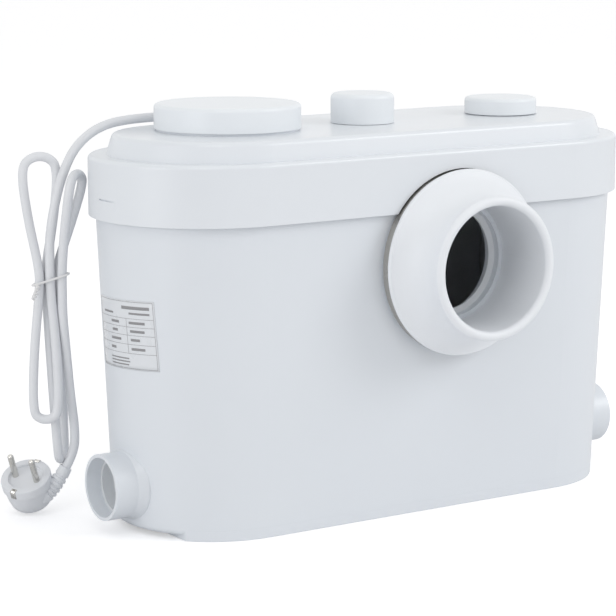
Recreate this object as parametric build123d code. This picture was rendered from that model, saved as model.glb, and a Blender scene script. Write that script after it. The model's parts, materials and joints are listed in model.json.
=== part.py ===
from build123d import *
import os
from math import cos, radians, sin, tan

os.makedirs("parts", exist_ok=True)

# A macerator toilet pump, in millimetres.
# The origin is the middle of the tank's underside. X runs along the tank to the right,
# Y to the back, away from the pan's inlet, and Z up.

# Shared allowances
cut_overrun = 2.0
seat_gap = 0.3
fit_gap = 0.05

# Tank
base_half_length = 213.5
base_half_depth = 77.5
end_draft = 2.7
side_draft = 1.5
plinth_height = 3.5
plinth_end_inset = 20.0
tank_wall = 3.5
tank_floor = 4.0
tank_rim_height = 262.0
tank_edge_radius = 5.0
floor_top = plinth_height + tank_floor

# Inlet for the pan, on the front
inlet_x = 30.0
inlet_z = 194.0
spigot_radius = 65.3
spigot_wall = 3.5
throat_radius = 44.0
throat_wall = 3.5
throat_length = 17.0

# Rubber inlet sleeve; the distances to the front are from the tank's middle plane
sleeve_bore = 47.3
sleeve_tube_wall = 3.0
sleeve_front = 135.0
sleeve_rim_radius = 54.8
sleeve_flange_radius = 71.4
sleeve_flange_front = 96.2
sleeve_flange_thickness = 4.2
sleeve_cuff_wall = 3.6
sleeve_wall = 3.2
inlet_lip_radius = 39.5
inlet_lip_thickness = 3.0
band_width = 6.0
band_thickness = 1.2
band_block_length = 12.0
band_block_height = 6.5
band_screw_radius = 2.4
band_screw_length = 16.0
band_slot_width = 1.0

# Side inlets, one at each end
side_y = -1.7
side_heights = {-1: 35.9, 1: 37.2}
side_overhang = 22.5
side_reach = base_half_length + side_overhang
side_radius = 25.0
side_wall = 2.6
side_grip = 18.0
side_flare = 3.0
side_flare_run = 7.0
side_lead_in = 12.0
side_seal_thickness = 2.4

# Lid
skirt_end_overhang = 16.5
skirt_half_length = base_half_length + skirt_end_overhang
skirt_half_depth = 88.5
skirt_bottom = 234.5
skirt_top = 279.5
skirt_edge_radius = 3.0
lid_wall = 3.4
shoulder_foot_end_inset = 13.5
shoulder_foot_side_inset = 7.5
deck_end_inset = 3.0
deck_half_length = base_half_length - deck_end_inset
deck_half_depth = 77.5
deck_height = 294.5
deck_edge_radius = 4.0
arch_gap = 1.2
latch_y = -7.5
latch_length = 27.0
latch_drop = 6.0
latch_slot = 1.1
latch_depth = 1.4
latch_height = 250.0
latch_leg_shares = (-0.5, -0.3)
gasket_height = 3.0
gasket_width = 3.0

# Motor and its cover on the lid
motor_from_end = 98.0
motor_x = motor_from_end - base_half_length
motor_y = 12.0
motor_cap_radius = 55.7
motor_cap_height = 18.5
motor_cap_edge_radius = 3.0
motor_cap_wall = 2.5
cap_step_height = 1.4
cap_step_inset = 1.6
motor_hole_radius = 47.5
motor_collar_height = 7.0
motor_collar_wall = 2.5

# Vent cap in the middle of the lid
vent_x = 0.0
vent_y = 0.0
vent_cap_radius = 24.7
vent_cap_height = 23.0
vent_cap_edge_radius = 4.0
vent_cap_wall = 2.2
vent_neck_radius = 19.0
vent_neck_wall = 2.2
vent_neck_height = 14.0
filter_height = 12.0

# Discharge neck and its cap, right
port_from_end = 78.0
port_x = base_half_length - port_from_end
port_y = 0.0
port_cap_radius = 28.9
port_cap_height = 12.9
port_cap_edge_radius = 3.0
port_cap_wall = 2.5
port_cap_gap = 0.8
port_neck_radius = port_cap_radius - port_cap_wall - seat_gap
port_neck_wall = 2.6
port_neck_height = 8.0
port_plug_depth = 6.0
port_plug_wall = 2.0

# Dry case under the lid, round the motor
case_from_end = 103.5
case_x = case_from_end - base_half_length
case_y = 8.0
case_half_length = 88.0
case_half_depth = 58.0
case_bottom = 150.0
case_wall = 3.0
case_flange = 3.0
shelf_height = 230.0
shelf_thickness = 3.0
shelf_length = 34.0

# Motor
motor_radius = 43.5
motor_wall = 2.5
motor_top = 284.0
motor_floor = 3.0
motor_rib_count = 20
motor_rib_height = 1.8
motor_rib_width = 2.0
bell_thickness = 3.0
bell_boss_radius = 17.0
bell_boss_drop = 10.0
stator_bore = 26.0
stator_bottom = 192.0
stator_height = 56.0
stator_slot_count = 12
stator_slot_width = 6.0
coil_height = 12.0
coil_inner_radius = 28.0
coil_outer_radius = 38.0
rotor_air_gap = 0.5
rotor_ring_height = 5.0
shaft_radius = 6.0
shaft_top = 299.0
shaft_hole_gap = 0.8
bearing_radius = 13.0
bearing_height = 9.0
bearing_race = 3.0
seal_radius = 15.0
seal_flange = 3.0
seal_flange_thickness = 2.5
motor_screw_radius = 2.0
motor_screw_head_radius = 3.8
motor_screw_head_height = 2.6
motor_screw_circle = 39.0
motor_screw_count = 4
fan_radius = 30.0
fan_blade_count = 6
fan_disc = 1.6
fan_blade_height = 4.5
fan_blade_thickness = 1.6
fan_hub_radius = 9.0

# Pump below the motor
volute_bottom = 9.0
volute_height = 30.0
volute_radius = 46.0
volute_wall = 3.0
volute_foot_radius = 7.0
volute_foot_count = 3
volute_eye_radius = 15.0
outlet_y = -10.0
outlet_z = 23.4
outlet_radius = 12.5
outlet_wall = 2.5
outlet_reach = 62.0
impeller_radius = 34.0
impeller_disc = 2.5
impeller_bottom = 13.5
impeller_vane_height = 10.0
impeller_vane_count = 5
impeller_vane_thickness = 2.5
vane_middle_share = 0.62
vane_sweep = 52.0
impeller_hub_radius = 10.0
impeller_hub_height = 14.0

# Cutter and strainer basket
basket_x = -37.0
basket_y = 8.0
basket_end_margin = 90.5
basket_half_length = base_half_length - basket_end_margin
basket_half_depth = 62.0
basket_height = 100.0
basket_wall = 2.5
basket_rim = 4.0
basket_rim_height = 4.0
basket_slot_width = 5.0
basket_slot_pitch = 13.0
basket_slot_margin = 14.0
cutter_z = 62.0
cutter_reach = 38.0
cutter_width = 15.0
cutter_thickness = 3.0
cutter_pitch = 18.0
cutter_hub_radius = 11.0
cutter_hub_height = 16.0
cutter_collar_height = 10.0

# Riser and non-return valve
riser_radius = 15.0
riser_bend = 34.0
riser_sweep = 120.0
riser_socket = 12.0
riser_turn_run = 65.5
riser_turn_x = port_x - riser_turn_run
riser_top = 246.0
valve_radius = 27.0
valve_wall = 2.5
valve_socket_wall = 3.0
valve_socket_depth = 12.0
valve_floor = 4.0
valve_seat_radius = 12.0
flap_radius = 18.0
flap_thickness = 2.6
flap_pin_radius = 1.5
flap_pin_half_length = 15.5
flap_pin_offset = 20.0
flap_eye_wall = 1.6
flap_eye_half_length = 6.0

# Pressure switch
dip_from_end = 36.0
dip_x = dip_from_end - base_half_length
dip_y = 2.0
dip_radius = 10.0
dip_wall = 1.8
dip_bottom = 24.0
dip_collar = 3.0
switch_cup_radius = 16.5
switch_cup_height = 14.0
switch_cup_wall = 2.2
diaphragm_thickness = 1.4
diaphragm_lift = 6.0
diaphragm_bead = 3.0
rod_plate_radius = 8.0
rod_plate_thickness = 1.6
rod_radius = 2.0
rod_length = 13.0
microswitch_length = 22.0
microswitch_width = 10.0
microswitch_height = 16.0
lever_length = 20.0
lever_width = 4.0
lever_thickness = 0.8
lever_pivot_radius = 1.0
switch_post_thickness = 3.0

# Electrics
capacitor_from_motor = 72.5
capacitor_x = motor_x + capacitor_from_motor
capacitor_radius = 15.0
capacitor_height = 62.0
capacitor_edge_radius = 2.0
capacitor_tab_height = 7.0
capacitor_tab_width = 6.3
capacitor_tab_thickness = 0.8
clip_height = 10.0
clip_wall = 1.2
terminal_length = 30.0
terminal_depth = 16.0
terminal_height = 14.0
terminal_pole_count = 3
terminal_screw_radius = 2.2
terminal_screw_depth = 5.0
wire_hole_share = 0.8

# Cable gland on the lid, behind the motor's cover
gland_from_end = 101.5
gland_x = gland_from_end - base_half_length
gland_y = 74.4
gland_z = 300.2
gland_radius = 5.2
gland_length = 14.0
relief_length = 20.0
relief_tip_radius = 4.7
relief_groove_count = 4
relief_groove_width = 1.4
relief_groove_depth = 0.7

# Mains cord
cord_radius = 3.6
strand_pitch = 8.0
last_strand_share = 1.12
corner_share = 0.45
octagon_half_turn = 22.5
neighbour_share = 6.0

# The hank hangs beside the tank's left end, in a frame of its own:
# S runs along the hank's face and D to its back, both level, and Z is up.
hank_from_end = -28.0
hank_x = hank_from_end - base_half_length
hank_y = 63.0
hank_turn = -33.6
tie_height = 184.0
flank_bow = 1.6
waist_half = 8.0
hank_top = 198.0
hank_bottom = 172.0

# The lead hangs past the lid's corner: its points from the strain relief to the hank,
# with X measured to the right of the tank's left end
lead_first = 50.5
lead_route = [
    (21.5, 72.5, 296.5),
    (-3.5, 66.0, 283.0),
    (-17.5, 61.0, 262.5),
    (-25.0, 60.5, 239.0),
    (-28.0, 63.0, 214.0),
]

# The tail hangs from the hank to the plug: its points in the hank's frame
tail_route = [
    (8.96, 0.0, 156.0),
    (10.8, 2.5, 130.0),
    (13.0, 5.5, 96.0),
    (16.0, 9.5, 66.0),
]
tail_straight = 13.0

# Each bight of the hank: the S and D of the middle of its round end, the height of
# that end, its half width, and how far its plane is turned from S towards D
bights = [
    (-4.4, -5.0, 77.5, 10.0, 180.0),
    (-7.4, 8.0, 276.0, 14.4, 20.0),
    (4.5, 16.0, 42.0, 11.0, 82.0),
    (21.0, 2.0, 263.5, 12.0, 250.0),
]

# Tie round the hank
tie_radius = 0.9
tie_gap = 0.8
tie_slant = 18.0

# Plug, lying on its back edge; its points and headings are in the hank's frame
plug_face = (-22.2, 5.4, 30.9)
plug_heading = (-0.13, -0.472, 0.872)
plug_pin_line = (0.893, -0.438, -0.104)
plug_radius = 19.5
plug_rim = 8.0
plug_rim_step = 1.0
plug_depth = 26.0
plug_back_radius = 16.0
plug_edge_radius = 1.2
plug_relief_tip = (8.4, 10.4, 36.7)
plug_relief_heading = (0.48, 0.12, 0.87)
plug_relief_length = 26.5
plug_relief_radius = 5.0
plug_relief_root_radius = 7.6
plug_neck_root = (-15.2, 7.6, 14.9)
plug_neck_radius = 8.8
plug_groove_count = 5
plug_groove_width = 1.5
plug_groove_depth = 1.1
pin_radius = 2.4
pin_length = 19.0
pin_spacing = 19.0
pin_root = 6.0
pin_nose_share = 0.85


def upright(radius, bottom, height):
    """A plain round bar standing on a level."""
    return Pos(0, 0, bottom) * Cylinder(radius, height, align=(Align.CENTER, Align.CENTER, Align.MIN))


def tube_ring(outer, inner, bottom, height):
    """A ring with an open middle, standing on a level."""
    hole = upright(inner, bottom - cut_overrun, height + 2 * cut_overrun)
    return upright(outer, bottom, height) - hole


def oval(half_length, half_depth, level):
    """A flat outline with straight sides and half-round ends."""
    return Pos(0, 0, level) * SlotOverall(2 * half_length, 2 * half_depth)


def oval_bar(half_length, half_depth, bottom, height):
    """A straight-sided block on the rounded outline."""
    return extrude(oval(half_length, half_depth, bottom), amount=height)


def half_length_at(level):
    """The tank's outer half length at a height, with its draft."""
    return base_half_length + level * tan(radians(end_draft))


def half_depth_at(level):
    """The tank's outer half depth at a height, with its draft."""
    return base_half_depth + level * tan(radians(side_draft))


def tank_body(inset, bottom, top):
    """The tank's drafted form between two heights, drawn in by an inset."""
    low = oval(half_length_at(bottom) - inset, half_depth_at(bottom) - inset, bottom)
    high = oval(half_length_at(top) - inset, half_depth_at(top) - inset, top)
    return loft([low, high], ruled=True)


def to_front(shape):
    """Turn an upright piece so that it points out of the tank's front at the inlet."""
    return Pos(inlet_x, 0, inlet_z) * Rot(90, 0, 0) * shape


def to_side(shape, side):
    """Turn an upright piece so that it points out of the left or right end."""
    return Pos(0, side_y, side_heights[side]) * Rot(0, side * 90, 0) * shape


def turned(points):
    """A turned solid from an outline of radius and height pairs."""
    face = make_face(Polyline(*[(radius, 0, height) for radius, height in points], close=True))
    return revolve(face, Axis.Z)


def at_motor(shape):
    """Move a piece to the motor's upright axis."""
    return Pos(motor_x, motor_y, 0) * shape


# Places worked out from the sizes above
front_wall = half_depth_at(inlet_z)
spigot_end = sleeve_flange_front - sleeve_wall - seat_gap
cuff_inner = spigot_radius + fit_gap
cuff_outer = cuff_inner + sleeve_cuff_wall
cuff_back = skirt_half_depth - lid_wall + seat_gap
deck_under = deck_height - lid_wall
seat_level = tank_rim_height + gasket_height
case_top = deck_under
case_floor = case_bottom + case_wall
motor_bore = motor_radius - motor_wall
bearing_level = case_floor + motor_floor
bell_boss_level = motor_top - bell_boss_drop
stator_top = stator_bottom + stator_height
rotor_radius = stator_bore - rotor_air_gap
volute_top = volute_bottom + volute_height
basket_bottom = volute_top
outlet_end = motor_x + outlet_reach
valve_floor_level = riser_top
valve_bore = valve_radius - valve_wall
flap_level = valve_floor_level + valve_floor + seat_gap
flap_pin_level = flap_level + flap_eye_wall + flap_pin_radius
flap_pin_x = port_x + flap_pin_offset
cup_floor = case_floor + switch_cup_wall
diaphragm_level = case_floor + diaphragm_lift
rod_bottom = diaphragm_level + diaphragm_thickness + seat_gap
rod_top = rod_bottom + rod_plate_thickness + rod_length
lever_level = rod_top + seat_gap
switch_level = lever_level + lever_length / 4 + lever_thickness
lever_pivot_y = dip_y - microswitch_length / 2 + 2 * lever_pivot_radius
motor_cap_level = deck_height + cap_step_height + seat_gap
port_cap_level = deck_height + port_cap_gap
foot_bottom = deck_height - shoulder_foot_side_inset / 3
throat_seat_radius = sleeve_bore + sleeve_tube_wall + seat_gap
throat_outer_radius = throat_seat_radius + throat_wall


# Tank
def make_tank():
    body = tank_body(0, plinth_height, tank_rim_height)
    body = fillet(body.edges().group_by(Axis.Z)[0], tank_edge_radius)
    plinth_half_length = base_half_length - plinth_end_inset
    body += tank_body(0, 0, floor_top) & Box(2 * plinth_half_length, 4 * base_half_depth, 2 * floor_top)
    body -= tank_body(tank_wall, floor_top, tank_rim_height + cut_overrun)
    wall_back = front_wall - 2 * tank_wall
    body -= to_front(upright(throat_outer_radius + seat_gap, wall_back, 4 * tank_wall))
    for side in (-1, 1):
        reach = half_length_at(side_heights[side]) - side_radius
        body -= to_side(upright(side_radius - side_wall, reach, 2 * side_radius), side)
    return body


def make_side_inlet(side):
    """A short spigot on one end of the tank, for a waste pipe's connector, flared at its root."""
    reach = half_length_at(side_heights[side]) - side_radius
    grip_start = side_reach - side_grip
    flare_start = grip_start - side_flare_run
    stub = upright(side_radius, grip_start, side_grip)
    stub += Pos(0, 0, grip_start - side_flare_run / 2) * Cone(side_radius + side_flare, side_radius, side_flare_run)
    stub += upright(side_radius + side_flare, reach, flare_start - reach)
    stub -= upright(side_radius - side_wall, reach - cut_overrun, side_reach - reach + 2 * cut_overrun)
    return to_side(stub, side) - tank_body(0, plinth_height, tank_rim_height)


def make_inlet_spigot():
    """The inlet's collar: a spigot for the sleeve on the wall and a throat through it."""
    inner_wall = front_wall - tank_wall
    web_front = front_wall + spigot_wall
    spigot = upright(spigot_radius, inner_wall, spigot_end - inner_wall)
    spigot -= upright(spigot_radius - spigot_wall, web_front, spigot_end - web_front + cut_overrun)
    collar = to_front(spigot) - tank_body(0, plinth_height, tank_rim_height)
    collar += to_front(upright(throat_outer_radius, inner_wall - throat_length, web_front - inner_wall + throat_length))
    seat = upright(throat_seat_radius, inner_wall, web_front - inner_wall + cut_overrun)
    throat = upright(throat_radius, inner_wall - throat_length - cut_overrun, web_front)
    return collar - to_front(seat + throat)


def make_inlet_sleeve():
    """The rubber sleeve: an inner tube, a rolled rim, a hollow flare and a cuff on the spigot."""
    back = front_wall - tank_wall + seat_gap
    flange_back = sleeve_flange_front - sleeve_flange_thickness
    half_flange = sleeve_flange_thickness / 2
    tube_outer = sleeve_bore + sleeve_tube_wall
    lip = (sleeve_rim_radius - sleeve_bore) / 2
    rim_front = sleeve_front - lip
    rim_back = rim_front - lip
    waist = sleeve_rim_radius - lip / 4
    flare_run = rim_back - sleeve_flange_front
    flange_tip = sleeve_flange_radius - half_flange
    outline = [
        Line((sleeve_bore, 0, back), (sleeve_bore, 0, rim_front)),
        ThreePointArc((sleeve_bore, 0, rim_front), (sleeve_bore + lip, 0, sleeve_front), (sleeve_rim_radius, 0, rim_front)),
        Line((sleeve_rim_radius, 0, rim_front), (waist, 0, rim_back)),
        ThreePointArc(
            (waist, 0, rim_back),
            (waist + lip, 0, sleeve_flange_front + flare_run / 3),
            (flange_tip, 0, sleeve_flange_front),
        ),
        ThreePointArc(
            (flange_tip, 0, sleeve_flange_front),
            (sleeve_flange_radius, 0, sleeve_flange_front - half_flange),
            (flange_tip, 0, flange_back),
        ),
        Polyline(
            (flange_tip, 0, flange_back),
            (cuff_outer, 0, flange_back),
            (cuff_outer, 0, cuff_back),
            (cuff_inner, 0, cuff_back),
            (cuff_inner, 0, sleeve_flange_front - sleeve_wall),
            (waist + lip, 0, sleeve_flange_front),
            (tube_outer, 0, rim_back - sleeve_wall),
            (tube_outer, 0, back),
            (sleeve_bore, 0, back),
        ),
    ]
    edges = [edge for piece in outline for edge in piece.edges()]
    return to_front(revolve(make_face(Wire(edges)), Axis.Z))


def make_inlet_lip():
    """A soft ring that stops splashes, set in the tank's throat behind the sleeve."""
    level = front_wall - tank_wall - throat_length / 2
    outer = throat_radius - fit_gap
    ring = turned([
        (inlet_lip_radius, level),
        (outer, level),
        (outer, level + inlet_lip_thickness),
        (inlet_lip_radius, level + inlet_lip_thickness / 2),
    ])
    return to_front(ring)


def make_clamp_band():
    outer = cuff_outer + fit_gap + band_thickness
    level = cuff_back + seat_gap
    band = tube_ring(outer, cuff_outer + fit_gap, level, band_width)
    block = Pos(outer + band_block_height / 2 - band_thickness, 0, level + band_width / 2)
    block *= Box(band_block_height, band_block_length, band_width)
    channel = Pos(outer + band_block_height / 2 - band_thickness / 2, 0, level + band_width / 2)
    channel *= Rot(90, 0, 0) * Cylinder(band_screw_radius + fit_gap, band_block_length + cut_overrun)
    return to_front(band + (block - upright(outer, level, band_width)) - channel)


def make_clamp_screw():
    outer = cuff_outer + fit_gap + band_thickness
    level = cuff_back + seat_gap
    place = Pos(outer + band_block_height / 2 - band_thickness / 2, 0, level + band_width / 2)
    screw = Rot(90, 0, 0) * Cylinder(band_screw_radius, band_screw_length)
    slot = Pos(0, -band_screw_length / 2, 0) * Box(
        2 * band_screw_radius + cut_overrun, 2 * band_slot_width, band_slot_width
    )
    return to_front(place * (screw - slot))


def make_side_seal(side):
    """A blanking membrane with a pull ring, pressed into a side inlet until it is used."""
    level = side_reach - side_lead_in
    outer = side_radius - side_wall - fit_gap
    rim = tube_ring(outer, outer - side_seal_thickness, level - side_lead_in, side_lead_in)
    web = upright(outer, level - side_lead_in, side_seal_thickness)
    boss = tube_ring(outer / 3, outer / 3 - side_seal_thickness, level - side_lead_in, side_lead_in / 2)
    return to_side(rim + web + boss, side)


# Lid
def make_lid():
    skirt = oval_bar(skirt_half_length, skirt_half_depth, skirt_bottom, skirt_top - skirt_bottom)
    skirt = fillet(skirt.edges().group_by(Axis.Z)[-1], skirt_edge_radius)
    foot_length = skirt_half_length - shoulder_foot_end_inset
    foot_depth = skirt_half_depth - shoulder_foot_side_inset
    foot_level = skirt_top - skirt_edge_radius
    foot = oval(foot_length, foot_depth, foot_level)
    top = oval(deck_half_length, deck_half_depth, deck_height)
    shoulder = loft([foot, top], ruled=True)
    shoulder = fillet(shoulder.edges().group_by(Axis.Z)[-1], deck_edge_radius)
    lid = skirt + shoulder
    inner_level = skirt_top - lid_wall
    seat_width = lid_wall + gasket_width + 2 * seat_gap
    lid -= oval_bar(
        skirt_half_length - lid_wall,
        skirt_half_depth - lid_wall,
        skirt_bottom - cut_overrun,
        seat_level - skirt_bottom + cut_overrun,
    )
    lid -= oval_bar(
        skirt_half_length - lid_wall - seat_width,
        skirt_half_depth - lid_wall - seat_width,
        seat_level - cut_overrun,
        inner_level - seat_level + cut_overrun,
    )
    lid -= loft([
        oval(foot_length - lid_wall - seat_width, foot_depth - lid_wall - seat_width, inner_level - cut_overrun),
        oval(deck_half_length - lid_wall, deck_half_depth - lid_wall, deck_under),
    ], ruled=True)
    step = upright(motor_cap_radius - cap_step_inset, deck_under, lid_wall + cap_step_height)
    collar = upright(motor_hole_radius + motor_collar_wall, deck_under, lid_wall + motor_collar_height)
    lid += at_motor(step + collar)
    lid -= at_motor(upright(motor_hole_radius, deck_under - cut_overrun, 2 * motor_collar_height + lid_wall))
    vent = upright(vent_neck_radius, deck_under, lid_wall + vent_neck_height)
    vent -= upright(vent_neck_radius - vent_neck_wall, deck_height, vent_neck_height + cut_overrun)
    lid += Pos(vent_x, vent_y, 0) * vent
    vent_hole = upright(vent_neck_radius - 3 * vent_neck_wall, deck_under - cut_overrun, 2 * vent_neck_height)
    lid -= Pos(vent_x, vent_y, 0) * vent_hole
    neck = upright(port_neck_radius, deck_under, lid_wall + port_neck_height)
    lid += Pos(port_x, port_y, 0) * neck
    neck_bore = upright(
        port_neck_radius - port_neck_wall, deck_under - cut_overrun, 2 * port_neck_height + lid_wall
    )
    lid -= Pos(port_x, port_y, 0) * neck_bore
    arch = upright(
        cuff_outer + band_thickness + arch_gap, skirt_half_depth - lid_wall, lid_wall + cut_overrun
    )
    lid -= to_front(arch)
    for side in (-1, 1):
        lid -= latch_cut(side)
    return lid


def latch_cut(side):
    """The slots round a snap latch in one end of the skirt."""
    face = side * (skirt_half_length - latch_depth / 2)
    depth = latch_depth + cut_overrun
    reach = Pos(face + side * cut_overrun / 2, side * -latch_y, latch_height)
    top = Box(depth, latch_length, latch_slot)
    cut = reach * top
    for share in latch_leg_shares:
        leg = Pos(0, -side * latch_length * share, -latch_drop / 2)
        cut += reach * leg * Box(depth, latch_slot, latch_drop)
    return cut


def make_lid_gasket():
    outer_length = half_length_at(tank_rim_height) - seat_gap
    outer_depth = half_depth_at(tank_rim_height) - seat_gap
    ring = oval_bar(outer_length, outer_depth, tank_rim_height, gasket_height)
    ring -= oval_bar(
        outer_length - gasket_width, outer_depth - gasket_width, tank_rim_height - cut_overrun, 3 * gasket_height
    )
    return ring


def cap_shell(radius, height, wall, edge_radius, level):
    """A round cap with a rounded top edge, open underneath."""
    shell = upright(radius, level, height)
    shell = fillet(shell.edges().group_by(Axis.Z)[-1], edge_radius)
    hollow = upright(radius - wall, level - cut_overrun, height - wall + cut_overrun)
    hollow = fillet(hollow.edges().group_by(Axis.Z)[-1], edge_radius / 2)
    return shell - hollow


def make_motor_cap():
    cap = cap_shell(motor_cap_radius, motor_cap_height, motor_cap_wall, motor_cap_edge_radius, motor_cap_level)
    return at_motor(cap)


def make_vent_cap():
    level = deck_height + seat_gap
    cap = cap_shell(vent_cap_radius, vent_cap_height, vent_cap_wall, vent_cap_edge_radius, level)
    return Pos(vent_x, vent_y, 0) * cap


def make_port_cap():
    """The discharge's cap, with a ring inside that plugs the neck."""
    cap = cap_shell(port_cap_radius, port_cap_height, port_cap_wall, port_cap_edge_radius, port_cap_level)
    plug_outer = port_neck_radius - port_neck_wall - seat_gap
    top = port_cap_level + port_cap_height - port_cap_wall
    bottom = port_cap_level - port_plug_depth
    plug = tube_ring(plug_outer, plug_outer - port_plug_wall, bottom, top - bottom)
    return Pos(port_x, port_y, 0) * (cap + plug)


def make_carbon_filter():
    radius = vent_neck_radius - vent_neck_wall - seat_gap
    return Pos(vent_x, vent_y, 0) * fillet(
        upright(radius, deck_height, filter_height).edges(), vent_neck_wall / 2
    )


# Dry case
def make_dry_case():
    body = oval_bar(case_half_length, case_half_depth, case_bottom, case_top - case_bottom)
    body = fillet(body.edges().group_by(Axis.Z)[0], case_wall)
    inner_length = case_half_length - case_wall
    inner_depth = case_half_depth - case_wall
    flange = oval_bar(case_half_length + case_flange, case_half_depth + case_flange, case_top - case_flange, case_flange)
    body += flange
    body -= oval_bar(inner_length, inner_depth, case_floor, case_top - case_floor + cut_overrun)
    shelf = oval_bar(inner_length + case_wall / 2, inner_depth + case_wall / 2, shelf_height, shelf_thickness)
    keep = Pos(case_half_length - case_wall - shelf_length / 2, 0, shelf_height + shelf_thickness / 2)
    shelf &= keep * Box(shelf_length + case_wall, 2 * case_half_depth, 2 * shelf_thickness)
    body += shelf
    body = Pos(case_x, case_y, 0) * body
    body -= at_motor(upright(seal_radius + fit_gap, case_bottom - cut_overrun, case_wall + 2 * cut_overrun))
    body -= Pos(dip_x, dip_y, 0) * upright(
        dip_radius - dip_wall, case_bottom - cut_overrun, case_wall + 2 * cut_overrun
    )
    return body


def make_shaft_seal():
    seal = upright(seal_radius, case_bottom - seal_flange_thickness, case_wall + seal_flange_thickness)
    seal += upright(seal_radius + seal_flange, case_bottom - seal_flange_thickness, seal_flange_thickness)
    seal -= upright(shaft_radius + fit_gap, case_bottom - 2 * seal_flange_thickness, case_wall + 4 * seal_flange)
    return at_motor(seal)


# Motor
def make_motor_housing():
    height = motor_top - case_floor
    body = upright(motor_radius, case_floor, height)
    rib_middle = motor_radius + motor_rib_height / 2 - motor_wall / 2
    rib = Pos(rib_middle, 0, case_floor + height / 2) * Box(
        motor_rib_height + motor_wall, motor_rib_width, height - 2 * bearing_height
    )
    for index in range(motor_rib_count):
        body += Rot(0, 0, index * 360 / motor_rib_count) * rib
    body -= upright(motor_bore, bearing_level, height)
    body += upright(bearing_radius + motor_wall, case_floor, motor_floor + bearing_height)
    body -= upright(bearing_radius + fit_gap, bearing_level, height)
    body -= upright(shaft_radius + shaft_hole_gap, case_floor - cut_overrun, height)
    return at_motor(body)


def make_motor_end_bell():
    body = upright(motor_radius, motor_top, bell_thickness)
    body += upright(bell_boss_radius, bell_boss_level, motor_top - bell_boss_level)
    body -= upright(bearing_radius + fit_gap, bell_boss_level - cut_overrun, bearing_height + cut_overrun)
    body -= upright(shaft_radius + shaft_hole_gap, bell_boss_level, 2 * bell_boss_drop)
    screw_hole = Pos(motor_screw_circle, 0, 0) * upright(
        motor_screw_radius + fit_gap, motor_top - cut_overrun, bell_thickness + 2 * cut_overrun
    )
    for index in range(motor_screw_count):
        body -= Rot(0, 0, index * 360 / motor_screw_count) * screw_hole
    return at_motor(body)


def make_motor_screws():
    screw = upright(motor_screw_radius, motor_top, bell_thickness)
    screw += upright(motor_screw_head_radius, motor_top + bell_thickness, motor_screw_head_height)
    slot = Pos(0, 0, motor_top + bell_thickness + motor_screw_head_height) * Box(
        3 * motor_screw_head_radius, motor_screw_radius / 2, motor_screw_head_height
    )
    screw = Pos(motor_screw_circle, 0, 0) * (screw - slot)
    turns = [index * 360 / motor_screw_count for index in range(motor_screw_count)]
    return Compound(children=[at_motor(Rot(0, 0, turn) * screw) for turn in turns])


def make_stator():
    body = tube_ring(motor_bore - fit_gap, stator_bore, stator_bottom, stator_height)
    slot_depth = coil_outer_radius - coil_inner_radius
    slot = Pos(coil_inner_radius + slot_depth / 2, 0, stator_bottom + stator_height / 2)
    slot *= Box(slot_depth, stator_slot_width, stator_height + cut_overrun)
    for index in range(stator_slot_count):
        body -= Rot(0, 0, index * 360 / stator_slot_count) * slot
    return at_motor(body)


def make_stator_coils():
    width = coil_outer_radius - coil_inner_radius
    middle = coil_inner_radius + width / 2

    def coil(level):
        section = Pos(middle, 0, level + coil_height / 2) * Rot(90, 0, 0)
        return revolve(section * RectangleRounded(width, coil_height, coil_height / 4), Axis.Z)

    return Compound(children=[at_motor(coil(level)) for level in (stator_bottom - coil_height, stator_top)])


def make_rotor():
    body = upright(rotor_radius, stator_bottom, stator_height)
    ring = rotor_radius - 2 * rotor_air_gap
    body += upright(ring, stator_bottom - rotor_ring_height, stator_height + 2 * rotor_ring_height)
    body -= upright(shaft_radius + fit_gap, stator_bottom - 2 * rotor_ring_height, stator_height + 4 * rotor_ring_height)
    return at_motor(body)


def make_shaft():
    body = upright(shaft_radius, impeller_bottom, shaft_top - impeller_bottom)
    return at_motor(chamfer(body.edges().filter_by(GeomType.CIRCLE), shaft_radius / 8))


def make_bearing(level):
    inner = tube_ring(shaft_radius + bearing_race, shaft_radius + fit_gap, level, bearing_height)
    outer = tube_ring(bearing_radius, bearing_radius - bearing_race, level, bearing_height)
    shield = tube_ring(
        bearing_radius - bearing_race, shaft_radius + bearing_race, level + bearing_race / 4, bearing_height - bearing_race / 2
    )
    return at_motor(inner + outer + shield)


def make_motor_fan():
    level = motor_top + bell_thickness + motor_screw_head_height + 2 * seat_gap
    body = upright(fan_radius, level, fan_disc)
    body += upright(fan_hub_radius, level, fan_disc + fan_blade_height)
    span = fan_radius - shaft_radius
    blade = Pos(shaft_radius + span / 2, 0, level + fan_disc + fan_blade_height / 2)
    blade *= Box(span, fan_blade_thickness, fan_blade_height)
    for index in range(fan_blade_count):
        body += Rot(0, 0, index * 360 / fan_blade_count) * blade
    body -= upright(shaft_radius + fit_gap, level - cut_overrun, 2 * fan_blade_height + 2 * cut_overrun)
    return at_motor(body)


# Pump
def make_pump_volute():
    spread = motor_y - outlet_y
    body = upright(volute_radius, volute_bottom, volute_height)
    outlet = Pos(0, -spread, outlet_z) * Rot(0, 90, 0) * upright(outlet_radius, 0, outlet_reach)
    body += outlet
    for index in range(volute_foot_count):
        pad = Pos(volute_radius - volute_foot_radius - volute_wall, 0, 0) * upright(
            volute_foot_radius, floor_top, volute_bottom - floor_top
        )
        body += Rot(0, 0, index * 360 / volute_foot_count) * pad
    chamber_floor = volute_bottom + volute_wall
    chamber_height = volute_height - 2 * volute_wall
    body -= upright(volute_radius - volute_wall, chamber_floor, chamber_height)
    body -= upright(volute_eye_radius, chamber_floor, volute_height)
    bore = Pos(0, -spread, outlet_z) * Rot(0, 90, 0)
    body -= bore * upright(outlet_radius - outlet_wall, 0, outlet_reach + cut_overrun)
    return at_motor(body)


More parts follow.
